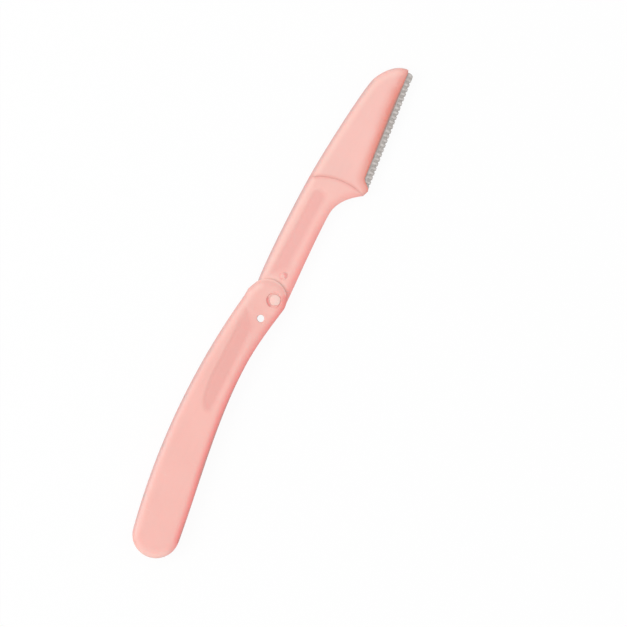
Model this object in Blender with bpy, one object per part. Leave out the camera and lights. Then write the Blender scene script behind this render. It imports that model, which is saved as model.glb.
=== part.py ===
"""A folding razor with a guarded blade in a pull-off head, open and lying on its back face.

Metres. X runs along the open razor towards the tip of the head, the blade's edge faces -Y, +Z is up
and the Z axis is the fold axis. Two scales and a spine strip make the handle, whose slot is open along
its concave side and through its far end. The arm turns in the slot on the pivot pin, and its tongue
carries the head: two shells that clamp the blade and the comb guard folded round the blade's edge.
"""

import math

import bmesh
import bpy
import numpy as np

# Handle outline, seen from the front
CONVEX_RADIUS = 0.2215  # the long back of the handle
CROWN_X = -0.032
CROWN_Y = 0.0105
PIVOT_END_X = -0.0007
PIVOT_END_RADIUS = 0.00605
FAR_END_X = -0.0787
FAR_END_RADIUS = 0.0071
WAIST_X = -0.0218
WAIST_Y = -0.00165
FAR_TAPER = math.radians(8)  # slope of the concave edge where the far end starts
PIVOT_TAPER = math.radians(9.5)  # and where it meets the round of the pivot end
CORNER_X = -0.00045  # the back ends in a low corner above the pivot
CORNER_RISE = 0.00025
CORNER_LEAD = 0.0027
CORNER_FALL = 0.00305

# Thicknesses and running clearances
SCALE_WALL = 0.0013
ARM_THICKNESS = 0.0028
FOLD_CLEARANCE = 0.0003  # between the arm and each scale
SEAT_GAP = 0.00005  # between pieces that are pressed together
SCALE_EDGE_ROUND = 0.0011
ARM_EDGE_ROUND = 0.0009
FINE_EDGE_ROUND = 0.00015
EDGE_SPREAD = 1.5  # a rounded edge is wider than it is high

# Spine strip of the handle and its stop block
SPINE_WIDTH = 0.0014
SPINE_SETBACK = 0.0001
SPINE_END_X = FAR_END_X + 0.0009
SPINE_POST_X = (-0.070, -0.054, -0.038, -0.022)
POST_RADIUS = 0.0005
POST_HEIGHT = 0.00065
POST_SOCKET_GAP = 0.00005
STOP_GAP = 0.0003
STOP_BLOCK_START = -0.0025
STOP_BLOCK_END = -0.008
STOP_BLOCK_HEEL = math.radians(105)  # bearing from the pivot where its two stop faces meet
STOP_ROOT = 0.003
BLOCK_POST = (-0.0035, 0.0064)

# Pivot
PIN_RADIUS = 0.0013
PIN_HEAD_RADIUS = PIN_RADIUS + 0.00025
PIN_HEAD_HEIGHT = 0.0005
PIN_FLANGE_RADIUS = 0.00215
PIN_FLANGE_HEIGHT = 0.0006
BORE_CLEARANCE = 0.00006
COUNTERBORE_RADIUS = PIN_FLANGE_RADIUS + SEAT_GAP
COUNTERBORE_DEPTH = PIN_FLANGE_HEIGHT + SEAT_GAP
WASHER_RADIUS = 0.0028
WASHER_CLEARANCE = 0.00003
HUB_RADIUS = 0.00375

# Through hole in the handle, and the arm's bump that ends the fold in a dimple inside the scales
FOLD_ANGLE = math.radians(178)
HOLE_AT = (-0.0067, 0.0010)
HOLE_RADIUS = 0.0011
BUMP_AT = (0.0079, 0.0008)
BUMP_RADIUS = 0.0011
BUMP_WALL = 0.00005  # straight part below the dome
BUMP_CLEARANCE = 0.00005
DIMPLE_RADIUS = BUMP_RADIUS + 0.00005
DIMPLE_DEPTH = 0.00015

# Arm outline. A pull is how far a curve's handle reaches from its end point, in X and in Y
SHOULDER = (0.00195, 0.00695)
SHOULDER_PULL = (-0.008, -0.00105)
SEAM_TOP = (0.0378, 0.0081)
SEAM_TOP_PULL = (-0.0085, 0.0002)
SEAM_BOTTOM = (0.0402, -0.0089)
SEAM_BOTTOM_PULL = (0.0018, -0.00265)
SEAM_BULGE = 0.0022
SEAM_GAP = 0.00012
NECK = (0.0302, -0.00243)
NECK_PULL = (0.010, 0)
NECK_HUB_PULL = (0.010, 0.0005)
NECK_FLARE_PULL = (0.0049, 0)

# Shallow grip recesses in the arm and in the scales
RECESS_DEPTH = 0.00035
RECESS_SLOPE = 0.0005
ARM_RECESS_START = 0.0066
ARM_RECESS_END = 0.0358
ARM_RECESS_LOW = 0.0009
ARM_RECESS_HIGH = 0.0048
ARM_RECESS_SLANT = 0.0042
ARM_RECESS_HIGH_PULL = (-0.0002, -0.001)
ARM_RECESS_LOW_PULL = (0.001, -0.0002)
HANDLE_RECESS_START = -0.0058
HANDLE_RECESS_END = -0.0389
HANDLE_RECESS_LOW = 0.0016
HANDLE_RECESS_HIGH = 0.0063
HANDLE_RECESS_SLANT = 0.0043
HANDLE_RECESS_START_PULL = 0.0014
HANDLE_RECESS_TURN = 0.0112
HANDLE_RECESS_TURN_PULL = 0.0042
RECESS_TIP_ROUND = 0.0014
RECESS_TIP_LEAN = math.radians(140)
RECESS_TIP_PULL = 0.0024

# Tongue of the arm, and its snap nib
TONGUE_LENGTH = 0.008
TONGUE_LOW = -0.001
TONGUE_HIGH = 0.0055
TONGUE_THICKNESS = 0.0012
TONGUE_CORNER = 0.001
TONGUE_GAP = 0.00015
NIB_SHARE = 0.7  # of the tongue's length
NIB_RADIUS = 0.0007
NIB_CLEARANCE = 0.00004

# Head outline. Its edge frame runs along the folded edge of the guard from the heel
EDGE_X = SEAM_BOTTOM[0] + 0.0018
EDGE_Y = SEAM_BOTTOM[1] - 0.00055
EDGE_ANGLE = math.radians(6.38)
HEEL_ROUND = 0.0004
HEEL_SHELF = 0.0006
RAMP_LEAN = math.radians(20)
RAMP_END = 0.0036
RAMP_PULL = 0.001
EXPOSED_AT_HEEL = 0.0022
EXPOSED_AT_TIP = 0.00178
LIP_LENGTH = 0.03775
TIP_ALONG = LIP_LENGTH + 0.00075
TIP_ACROSS = EXPOSED_AT_TIP + 0.0003
TIP_PULL = (0, 0.0039)
NOSE_FROM_TIP = (-0.0081, 0.0082)
NOSE_PULL = (-0.0034, 0.0009)
HEAD_BACK_PULL = (-0.004, 0.00105)
HEAD_SEAM_PULL = (-0.010, 0.0002)
SHELL_PARTING = 0.00005
LIP_THICKNESS = 0.0003
LIP_BEVEL = 0.003

# Comb guard
GUARD_SHEET = 0.0002
GUARD_GAP = 0.00005
GUARD_HEIGHT = 0.0033
GUARD_START = 0.0007
GUARD_END = LIP_LENGTH
GUARD_CORNER = 0.0012
GUARD_SLOT = 0.0006
GUARD_PITCH = 0.0015
GUARD_SLOT_REACH = 0.0014
GUARD_MARGIN = 0.0009
POCKET_GAP = 0.00005

# Blade
BLADE_THICKNESS = 0.00025
BLADE_HEIGHT = 0.0054
BLADE_START = GUARD_START + 0.00045
BLADE_END = GUARD_END - 0.00045
BLADE_CORNER = 0.0022
BLADE_GRIND = 0.0008
BLADE_KEEN = 0.00004
BLADE_INSET = 0.00005
BLADE_HOLES = (0.0065, 0.019, 0.0315)
BLADE_HOLE_ACROSS = 0.0044
BLADE_POST_RADIUS = 0.0006
BLADE_POST_GAP = 0.00005
BLADE_POST_REACH = 0.00075

# Levels, from the back face up
SLOT_FLOOR = SCALE_WALL
ARM_BACK = SLOT_FLOOR + FOLD_CLEARANCE
MIDDLE = ARM_BACK + ARM_THICKNESS / 2
ARM_FRONT = ARM_BACK + ARM_THICKNESS
SLOT_ROOF = ARM_FRONT + FOLD_CLEARANCE
FRONT_FACE = SLOT_ROOF + SCALE_WALL

CUT_PAST = 0.001  # how far a cutter runs past the surface that it opens
ROUND_STEPS = 3
CIRCLE_STEPS = 32
SMALL_CIRCLE_STEPS = 16
SMALL_CIRCLE = 0.0008  # radius up to which a circle needs fewer steps
DOME_STEPS = 4
SHARP_ANGLE = math.radians(35)

SHELL_PINK = (0.93, 0.50, 0.44)
ARM_PINK = (0.94, 0.53, 0.48)
WASHER_WHITE = (0.80, 0.78, 0.74)
BLADE_GREY = (0.62, 0.62, 0.61)
GUARD_GREY = (0.52, 0.50, 0.48)


def clear_scene():
    for thing in list(bpy.data.objects):
        bpy.data.objects.remove(thing, do_unlink=True)


def material(name, colour, roughness, metallic=0.0):
    made = bpy.data.materials.new(name)
    made.use_nodes = True
    shader = made.node_tree.nodes["Principled BSDF"]
    shader.inputs["Base Color"].default_value = (*colour, 1.0)
    shader.inputs["Roughness"].default_value = roughness
    shader.inputs["Metallic"].default_value = metallic
    return made


# Outlines: arrays of points, running anticlockwise seen from the front


def arc(centre, radius, start, end, count):
    angles = np.linspace(start, end, count)
    return np.column_stack((np.cos(angles), np.sin(angles))) * radius + centre


def curve(start, leaving, end, arriving, count):
    """A cubic curve; leaving and arriving are its end tangents, as long as its handles."""
    share = np.linspace(0, 1, count)[:, None]
    rest = 1 - share
    first = np.add(start, leaving)
    second = np.subtract(end, arriving)
    return (
        rest**3 * np.array(start)
        + 3 * rest**2 * share * first
        + 3 * rest * share**2 * second
        + share**3 * np.array(end)
    )


def heading(angle, length):
    return np.array((math.cos(angle), math.sin(angle))) * length


def outline(*stretches):
    """The stretches as one closed outline, with no point twice."""
    points = np.vstack([np.atleast_2d(stretch) for stretch in stretches])
    steps = np.linalg.norm(points - np.roll(points, 1, axis=0), axis=1)
    return points[steps > 1e-6]


def convex_centre():
    return np.array((CROWN_X, CROWN_Y - CONVEX_RADIUS))


def inside_convex(x, radius):
    """Centre, at x, of a circle that touches the handle's long back from inside."""
    centre = convex_centre()
    reach = CONVEX_RADIUS - radius
    return np.array((x, centre[1] + math.sqrt(reach**2 - (x - centre[0]) ** 2)))


def bearing(point, centre):
    return math.atan2(point[1] - centre[1], point[0] - centre[0])


def back_bearing(x):
    """Angle at which the handle's long back passes x."""
    return math.acos((x - CROWN_X) / CONVEX_RADIUS)


def handle_outline():
    pivot_end = inside_convex(PIVOT_END_X, PIVOT_END_RADIUS)
    far_end = inside_convex(FAR_END_X, FAR_END_RADIUS)
    back_start = back_bearing(CORNER_X - CORNER_LEAD)
    back_end = bearing(far_end, convex_centre())
    far_tangent = 1.5 * math.pi + FAR_TAPER
    pivot_tangent = -0.5 * math.pi - PIVOT_TAPER
    corner_foot = math.acos((CORNER_X + CORNER_FALL - PIVOT_END_X) / PIVOT_END_RADIUS)
    corner = convex_centre() + heading(back_bearing(CORNER_X), CONVEX_RADIUS + CORNER_RISE)
    far_round = arc(far_end, FAR_END_RADIUS, back_end, far_tangent, 20)
    pivot_round = arc(pivot_end, PIVOT_END_RADIUS, pivot_tangent, corner_foot, 19)
    waist = np.array((WAIST_X, WAIST_Y))
    far_run = (WAIST_X - far_round[-1, 0]) / 3
    pivot_run = (pivot_round[0, 0] - WAIST_X) / 3
    return outline(
        arc(convex_centre(), CONVEX_RADIUS, back_start, back_end, 24),
        far_round,
        curve(far_round[-1], heading(FAR_TAPER, far_run), waist, heading(0, far_run), 14),
        curve(waist, heading(0, pivot_run), pivot_round[0], heading(-PIVOT_TAPER, pivot_run), 9),
        pivot_round,
        corner,
    )


def seam(shift=0.0):
    """The curved end of the arm, from its lower corner to its upper one."""
    low = np.array(SEAM_BOTTOM)
    high = np.array(SEAM_TOP)
    along = (high - low) / np.linalg.norm(high - low)
    half = np.linalg.norm(high - low) / 2
    radius = (half**2 + SEAM_BULGE**2) / (2 * SEAM_BULGE)
    centre = (low + high) / 2 + np.array((-along[1], along[0])) * (radius - SEAM_BULGE)
    points = arc(centre, radius, bearing(low, centre), bearing(high, centre), 15)
    return points + (shift, 0)


def neck_edge(count=12):
    """The arm's lower edge from the hub to where the flare starts."""
    return curve((0, -HUB_RADIUS), NECK_HUB_PULL, NECK, NECK_PULL, count)


def arm_outline():
    """Points of the arm, and how far its faces are rounded at each."""
    shoulder_root = math.acos(SHOULDER[0] / HUB_RADIUS)
    hub = arc((0, 0), HUB_RADIUS, shoulder_root, 1.5 * math.pi, 22)
    flare = curve(NECK, NECK_FLARE_PULL, SEAM_BOTTOM, SEAM_BOTTOM_PULL, 12)
    spine = curve(SEAM_TOP, SEAM_TOP_PULL, SHOULDER, SHOULDER_PULL, 16)
    stretches = (
        (hub, FINE_EDGE_ROUND),
        (neck_edge()[1:], ARM_EDGE_ROUND),
        (flare[1:-2], ARM_EDGE_ROUND),
        (flare[-2:-1], HEEL_ROUND),
        (seam(), FINE_EDGE_ROUND),
        (spine[1:-1], ARM_EDGE_ROUND),
        (spine[-1:], FINE_EDGE_ROUND),
    )
    points = np.vstack([stretch for stretch, _ in stretches])
    rounds = np.concatenate([np.full(len(stretch), size) for stretch, size in stretches])
    return points, rounds


def on_edge(along, across):
    """A point of the edge frame: along the guard's fold from the heel, and across it into the head."""
    run = heading(EDGE_ANGLE, along)
    rise = heading(EDGE_ANGLE + math.pi / 2, across)
    return np.array((EDGE_X, EDGE_Y)) + run + rise


def head_outline():
    """Points of the head, and how far its faces are rounded at each."""
    heel = on_edge(0, -HEEL_ROUND / 4)
    ramp = curve(
        on_edge(HEEL_SHELF, 0),
        heading(EDGE_ANGLE + RAMP_LEAN, RAMP_PULL),
        on_edge(RAMP_END, EXPOSED_AT_HEEL),
        heading(EDGE_ANGLE, RAMP_PULL),
        8,
    )
    tip = on_edge(TIP_ALONG, TIP_ACROSS)
    nose = tip + NOSE_FROM_TIP
    tip_run = curve(tip, TIP_PULL, nose, NOSE_PULL, 14)
    top = np.array(SEAM_TOP) + (SEAM_GAP, 0)
    spine = curve(nose, HEAD_BACK_PULL, top, HEAD_SEAM_PULL, 14)
    stretches = (
        (heel[None], FINE_EDGE_ROUND),
        (ramp, FINE_EDGE_ROUND),
        (on_edge(LIP_LENGTH, EXPOSED_AT_TIP)[None], FINE_EDGE_ROUND),
        (tip_run[:2], HEEL_ROUND),
        (tip_run[2:], ARM_EDGE_ROUND),
        (spine[1:-1], ARM_EDGE_ROUND),
        (seam(SEAM_GAP)[::-1], FINE_EDGE_ROUND),
    )
    points = np.vstack([stretch for stretch, _ in stretches])
    rounds = np.concatenate([np.full(len(stretch), size) for stretch, size in stretches])
    return points, rounds


def spine_strip_outline():
    """The strip between the scales along their convex edge, with the stop block at its pivot end."""
    centre = convex_centre()
    pivot_end = inside_convex(PIVOT_END_X, PIVOT_END_RADIUS)
    outer = CONVEX_RADIUS - SPINE_SETBACK
    inner = CONVEX_RADIUS - SPINE_WIDTH
    end_round = PIVOT_END_RADIUS - SPINE_SETBACK
    stop_x = SHOULDER[0] - STOP_GAP
    pivot_start = math.acos((stop_x - PIVOT_END_X) / end_round)
    back_start = bearing(pivot_end, centre)
    clear = HUB_RADIUS + STOP_GAP
    closing = folded(neck_edge(25)) + (0, STOP_GAP)
    closing = closing[(closing[:, 0] < STOP_BLOCK_START) & (closing[:, 0] > STOP_BLOCK_END)]
    root_x = closing[-1, 0] - STOP_ROOT
    inner_start = math.acos((root_x - centre[0]) / inner)
    inner_end = math.acos((SPINE_END_X - centre[0]) / inner)
    outer_end = math.acos((SPINE_END_X - centre[0]) / outer)
    root = arc(centre, inner, inner_start, inner_start, 1)[0]
    return outline(
        arc(pivot_end, end_round, pivot_start, back_start, 5),
        arc(centre, outer, back_start, outer_end, 24),
        arc(centre, inner, inner_end, inner_start, 24),
        curve(root, (STOP_ROOT / 2, 0), closing[-1], (0, -STOP_ROOT / 2), 5)[1:-1],
        closing[::-1],
        arc((0, 0), clear, STOP_BLOCK_HEEL, math.acos(stop_x / clear), 8),
    )


def folded(points):
    """Where points of the arm lie once it is folded into the handle."""
    cos, sin = math.cos(FOLD_ANGLE), math.sin(FOLD_ANGLE)
    x, y = points[:, 0], points[:, 1]
    return np.column_stack((x * cos + y * sin, y * cos - x * sin))


def arm_recess():
    mid = (ARM_RECESS_LOW + ARM_RECESS_HIGH) / 2
    half = (ARM_RECESS_HIGH - ARM_RECESS_LOW) / 2
    low_start = (ARM_RECESS_START + ARM_RECESS_SLANT, ARM_RECESS_LOW)
    high_start = (ARM_RECESS_START, ARM_RECESS_HIGH)
    near = curve(high_start, ARM_RECESS_HIGH_PULL, low_start, ARM_RECESS_LOW_PULL, 6)
    far = arc((ARM_RECESS_END - half, mid), half, -math.pi / 2, math.pi / 2, 11)
    return outline(near, far)


def handle_recess():
    low_start = (HANDLE_RECESS_START - HANDLE_RECESS_SLANT, HANDLE_RECESS_LOW)
    high_start = (HANDLE_RECESS_START, HANDLE_RECESS_HIGH)
    high_end = (HANDLE_RECESS_END + HANDLE_RECESS_TURN, HANDLE_RECESS_HIGH)
    tip = (HANDLE_RECESS_END + RECESS_TIP_ROUND, HANDLE_RECESS_LOW + RECESS_TIP_ROUND)
    pull = HANDLE_RECESS_START_PULL
    near = curve(low_start, (pull, 0), high_start, (0, pull), 6)
    tip_round = arc(tip, RECESS_TIP_ROUND, RECESS_TIP_LEAN, 1.5 * math.pi, 7)
    tip_pull = heading(RECESS_TIP_LEAN + math.pi / 2, RECESS_TIP_PULL)
    far = curve(high_end, (-HANDLE_RECESS_TURN_PULL, 0), tip_round[0], tip_pull, 8)
    return outline(near, far, tip_round)


# Solids


def finished(name, mesh, dressed=None):
    bmesh.ops.recalc_face_normals(mesh, faces=mesh.faces)
    data = bpy.data.meshes.new(name)
    mesh.to_mesh(data)
    mesh.free()
    data.shade_smooth()
    data.set_sharp_from_angle(angle=SHARP_ANGLE)
    made = bpy.data.objects.new(name, data)
    bpy.context.scene.collection.objects.link(made)
    if dressed:
        data.materials.append(dressed)
    return made


def inwards(points):
    """At each point, the step that moves both sides next to it in by one."""
    before = points - np.roll(points, 1, axis=0)
    after = np.roll(points, -1, axis=0) - points
    before = before / np.linalg.norm(before, axis=1)[:, None]
    after = after / np.linalg.norm(after, axis=1)[:, None]
    first = np.column_stack((-before[:, 1], before[:, 0]))
    second = np.column_stack((-after[:, 1], after[:, 0]))
    spread = 1 + (first * second).sum(axis=1)
    return (first + second) / spread[:, None]


def rounded_levels(points, low, high, low_round, high_round):
    """Rings of a plate from its lower face to its upper one, each edge a quarter of an ellipse."""
    step = inwards(points)
    rings = []
    for size, level, sign in ((low_round, low, 1), (high_round, high, -1)):
        size = np.broadcast_to(size, len(points))
        turn = np.linspace(0, math.pi / 2, ROUND_STEPS + 1)
        if not size.any():
            turn = turn[:1]
        edge = []
        for angle in turn:
            inset = size * EDGE_SPREAD * (1 - math.cos(angle))
            rise = size * (1 - math.sin(angle))
            edge.append((points + step * inset[:, None], level + sign * rise))
        rings += edge[::-1] if sign > 0 else edge
    return rings


def lofted(name, rings, dressed=None):
    """A solid through rings of as many points each, closed by a face at both ends."""
    mesh = bmesh.new()
    loops = []
    for flat, level in rings:
        heights = np.broadcast_to(level, len(flat))
        loops.append([mesh.verts.new((x, y, z)) for (x, y), z in zip(flat, heights)])
    for lower, upper in zip(loops, loops[1:]):
        for a, b, c, d in zip(lower, lower[1:] + lower[:1], upper[1:] + upper[:1], upper):
            mesh.faces.new((a, b, c, d))
    mesh.faces.new(loops[0][::-1])
    mesh.faces.new(loops[-1])
    return finished(name, mesh, dressed)


def plate(name, points, low, high, low_round=0.0, high_round=0.0, dressed=None):
    return lofted(name, rounded_levels(points, low, high, low_round, high_round), dressed)


def turned(name, profile, centre=(0, 0), dressed=None):
    """A solid of revolution about the upright line at centre, from (radius, height) points."""
    widest = max(radius for radius, _ in profile)
    mesh = bmesh.new()
    verts = [mesh.verts.new((radius, 0, height)) for radius, height in profile]
    edges = [mesh.edges.new(pair) for pair in zip(verts, verts[1:])]
    if profile[0][0] > 0:
        edges.append(mesh.edges.new((verts[-1], verts[0])))
    bmesh.ops.spin(
        mesh,
        geom=verts + edges,
        cent=(0, 0, 0),
        axis=(0, 0, 1),
        angle=2 * math.pi,
        steps=SMALL_CIRCLE_STEPS if widest < SMALL_CIRCLE else CIRCLE_STEPS,
        use_merge=True,
    )
    bmesh.ops.remove_doubles(mesh, verts=mesh.verts, dist=1e-7)
    bmesh.ops.translate(mesh, verts=mesh.verts, vec=(*centre, 0))
    return finished(name, mesh, dressed)


def rod(name, centre, radius, low, high):
    return turned(name, ((0, low), (radius, low), (radius, high), (0, high)), centre)


def dome(radius, height):
    """Points of a half dome from its foot inwards, short of its top, as (radius, rise)."""
    turn = np.linspace(0, math.pi / 2, DOME_STEPS + 1)[:-1]
    return [(radius * math.cos(a), height * math.sin(a)) for a in turn]


def bar(name, profile, start, end, dressed=None):
    """A profile of (across, up) points carried from start to end along the edge frame."""
    mesh = bmesh.new()
    for along in (start, end):
        corners = [on_edge(along, across) for across, _ in profile]
        mesh.faces.new([mesh.verts.new((x, y, up)) for (x, y), (_, up) in zip(corners, profile)])
    near, far = list(mesh.faces)
    bmesh.ops.bridge_loops(mesh, edges=list(near.edges) + list(far.edges))
    return finished(name, mesh, dressed)


def boolean(target, other, operation):
    other.hide_render = True
    other.display_type = "WIRE"
    modifier = target.modifiers.new(f"{operation.lower()} {other.name}", "BOOLEAN")
    modifier.operation = operation
    modifier.object = other


def cut(target, *others):
    for other in others:
        boolean(target, other, "DIFFERENCE")


def join(target, *others):
    for other in others:
        boolean(target, other, "UNION")


# Handle


def spine_posts():
    """Centres of the posts that hold the scales on the spine strip."""
    centre = convex_centre()
    middle = CONVEX_RADIUS - (SPINE_WIDTH + SPINE_SETBACK) / 2
    on_strip = [
        centre + heading(math.acos((x - centre[0]) / middle), middle) for x in SPINE_POST_X
    ]
    return on_strip + [np.array(BLOCK_POST)]


def handle_spine(dressed):
    low = SLOT_FLOOR + SEAT_GAP
    high = SLOT_ROOF - SEAT_GAP
    strip = plate("handle_spine", spine_strip_outline(), low, high, dressed=dressed)
    for index, centre in enumerate(spine_posts()):
        post = rod(f"spine_post_{index}", centre, POST_RADIUS, low - POST_HEIGHT, high + POST_HEIGHT)
        join(strip, post)
    return strip


def scale_openings(side, inner, outer):
    """Cutters for one scale: inner and outer are the levels of its two faces."""
    out = math.copysign(1, outer - inner)
    low, high = sorted((inner - out * CUT_PAST, outer + out * CUT_PAST))
    counterbore = sorted((outer - out * COUNTERBORE_DEPTH, outer + out * CUT_PAST))
    dimple = sorted((inner - out * CUT_PAST, inner + out * DIMPLE_DEPTH))
    dimple_at = folded(np.array([BUMP_AT]))[0]
    cutters = [
        rod(f"{side}_bore", (0, 0), PIN_RADIUS + BORE_CLEARANCE, low, high),
        rod(f"{side}_hole", HOLE_AT, HOLE_RADIUS, low, high),
        rod(f"{side}_counterbore", (0, 0), COUNTERBORE_RADIUS, *counterbore),
        rod(f"{side}_dimple", dimple_at, DIMPLE_RADIUS, *dimple),
        recess(f"{side}_recess", handle_recess(), outer, out),
    ]
    depth = POST_HEIGHT + SEAT_GAP + POST_SOCKET_GAP
    for index, centre in enumerate(spine_posts()):
        reach = sorted((inner - out * CUT_PAST, inner + out * depth))
        radius = POST_RADIUS + POST_SOCKET_GAP
        cutters.append(rod(f"{side}_socket_{index}", centre, radius, *reach))
    return cutters


def recess(name, points, face, out):
    """A cutter for a shallow recess with sloping sides in the face at this level."""
    step = inwards(points)
    floor = (points + step * RECESS_SLOPE, face - out * RECESS_DEPTH)
    brim = (points - step * RECESS_SLOPE, face + out * RECESS_DEPTH)
    rings = [floor, brim] if out > 0 else [brim, floor]
    return lofted(name, rings)


def handle_scales(dressed):
    points = handle_outline()
    back = plate(
        "handle_back_scale", points, 0, SLOT_FLOOR, low_round=SCALE_EDGE_ROUND, dressed=dressed
    )
    cut(back, *scale_openings("back", SLOT_FLOOR, 0))
    front = plate(
        "handle_front_scale", points, SLOT_ROOF, FRONT_FACE, high_round=SCALE_EDGE_ROUND, dressed=dressed
    )
    cut(front, *scale_openings("front", SLOT_ROOF, FRONT_FACE))
    return back, front


# Pivot


def pivot_pin(dressed):
    """Flush flange at the back, plain shank, and a domed head in the front counterbore."""
    seat = FRONT_FACE - COUNTERBORE_DEPTH + SEAT_GAP
    half_head = PIN_HEAD_HEIGHT / 2
    head = [(radius, seat + half_head + rise) for radius, rise in dome(PIN_HEAD_RADIUS, half_head)]
    profile = [
        (0, 0),
        (PIN_FLANGE_RADIUS, 0),
        (PIN_FLANGE_RADIUS, PIN_FLANGE_HEIGHT),
        (PIN_RADIUS, PIN_FLANGE_HEIGHT),
        (PIN_RADIUS, seat),
        (PIN_HEAD_RADIUS, seat),
        *head,
        (0, seat + PIN_HEAD_HEIGHT),
    ]
    return turned("pivot_pin", profile, dressed=dressed)


def pivot_washers(dressed):
    bore = PIN_RADIUS + BORE_CLEARANCE
    for side, floor in (("back", SLOT_FLOOR), ("front", ARM_FRONT)):
        low = floor + WASHER_CLEARANCE
        high = floor + FOLD_CLEARANCE - WASHER_CLEARANCE
        ring = ((bore, low), (WASHER_RADIUS, low), (WASHER_RADIUS, high), (bore, high))
        turned(f"pivot_washer_{side}", ring, dressed=dressed)


# Arm


def tongue_outline(grown):
    """The tongue's outline, which starts inside the arm, and grown by a gap for its pocket."""
    root = SEAM_BOTTOM[0] - CUT_PAST
    end = SEAM_BOTTOM[0] + TONGUE_LENGTH + grown
    low = TONGUE_LOW - grown
    high = TONGUE_HIGH + grown
    size = TONGUE_CORNER + grown
    return outline(
        (root, low),
        arc((end - size, low + size), size, -math.pi / 2, 0, 5),
        arc((end - size, high - size), size, 0, math.pi / 2, 5),
        (root, high),
    )


def nib_centre():
    return (SEAM_BOTTOM[0] + TONGUE_LENGTH * NIB_SHARE, (TONGUE_LOW + TONGUE_HIGH) / 2)


def bump():
    """One turned piece through the arm, with a low dome standing out of each face."""
    height = FOLD_CLEARANCE - BUMP_CLEARANCE
    shape = dome(BUMP_RADIUS, height - BUMP_WALL)
    upper = [(radius, ARM_FRONT + BUMP_WALL + rise) for radius, rise in shape]
    lower = [(radius, ARM_BACK - BUMP_WALL - rise) for radius, rise in shape[::-1]]
    profile = [(0, ARM_BACK - height), *lower, *upper, (0, ARM_FRONT + height)]
    return turned("arm_bump", profile, BUMP_AT)


def arm(dressed):
    points, rounds = arm_outline()
    made = plate("arm", points, ARM_BACK, ARM_FRONT, rounds, rounds, dressed=dressed)
    cut(made, recess("arm_front_recess", arm_recess(), ARM_FRONT, 1))
    cut(made, recess("arm_back_recess", arm_recess(), ARM_BACK, -1))
    radius = PIN_RADIUS + BORE_CLEARANCE
    cut(made, rod("arm_bore", (0, 0), radius, ARM_BACK - CUT_PAST, ARM_FRONT + CUT_PAST))
    half = TONGUE_THICKNESS / 2
    tongue = plate("arm_tongue", tongue_outline(0.0), MIDDLE - half, MIDDLE + half)
    nib_top = MIDDLE + half + TONGUE_GAP - NIB_CLEARANCE
    nib = rod("arm_nib", nib_centre(), NIB_RADIUS, MIDDLE, nib_top)
    join(made, bump(), tongue, nib)
    return made


# Head


def guard_half():
    return BLADE_THICKNESS / 2 + GUARD_GAP + GUARD_SHEET


def guard_face(grown):
    """The guard seen from the front, and grown by a gap for its pocket."""
    end = GUARD_END + grown
    size = GUARD_CORNER
    outer = -grown
    corner = [
        on_edge(end - size + size * math.sin(a), outer + size - size * math.cos(a))
        for a in np.linspace(0, math.pi / 2, 6)
    ]
    return outline(
        on_edge(GUARD_START - grown, outer),
        np.array(corner),
        on_edge(end, GUARD_HEIGHT + grown),
        on_edge(GUARD_START - grown, GUARD_HEIGHT + grown),
    )


def blade_edge():
    return GUARD_SHEET + BLADE_INSET


def blade_face(grown):
    """The blade seen from the front, and grown by a gap for its pocket."""
    low = blade_edge() - grown
    high = blade_edge() + BLADE_HEIGHT + grown
    return outline(
        on_edge(BLADE_START - grown, low),
        on_edge(BLADE_END + grown, low),
        on_edge(BLADE_END + grown, high - BLADE_CORNER),
        on_edge(BLADE_END + grown - BLADE_CORNER, high),
        on_edge(BLADE_START - grown, high),
    )


def lip_bevel(side, out):
    """A cutter for the long slope from the head's face down to the lip over the guard."""
    face = MIDDLE + out * ARM_THICKNESS / 2
    lip = MIDDLE + out * (guard_half() + POCKET_GAP + LIP_THICKNESS)
    past = face + out * CUT_PAST
    rise = CUT_PAST * LIP_BEVEL / abs(face - lip)
    profile = (
        (-CUT_PAST, lip),
        (EXPOSED_AT_HEEL, lip),
        (EXPOSED_AT_HEEL + LIP_BEVEL, face),
        (EXPOSED_AT_HEEL + LIP_BEVEL + rise, past),
        (-CUT_PAST, past),
    )
    return bar(f"{side}_lip_bevel", profile, -LIP_BEVEL, TIP_ALONG + CUT_PAST)


def head_pockets():
    """Cutters shared by both shells: for the tongue, the guard and the blade."""
    tongue_half = TONGUE_THICKNESS / 2 + TONGUE_GAP
    guard_reach = guard_half() + POCKET_GAP
    blade_reach = BLADE_THICKNESS / 2 + POCKET_GAP
    return (
        plate("tongue_pocket", tongue_outline(TONGUE_GAP), MIDDLE - tongue_half, MIDDLE + tongue_half),
        plate("guard_pocket", guard_face(POCKET_GAP), MIDDLE - guard_reach, MIDDLE + guard_reach),
        plate("blade_pocket", blade_face(POCKET_GAP), MIDDLE - blade_reach, MIDDLE + blade_reach),
    )


def blade_post_centres():
    return [on_edge(along, BLADE_HOLE_ACROSS) for along in BLADE_HOLES]


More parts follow.
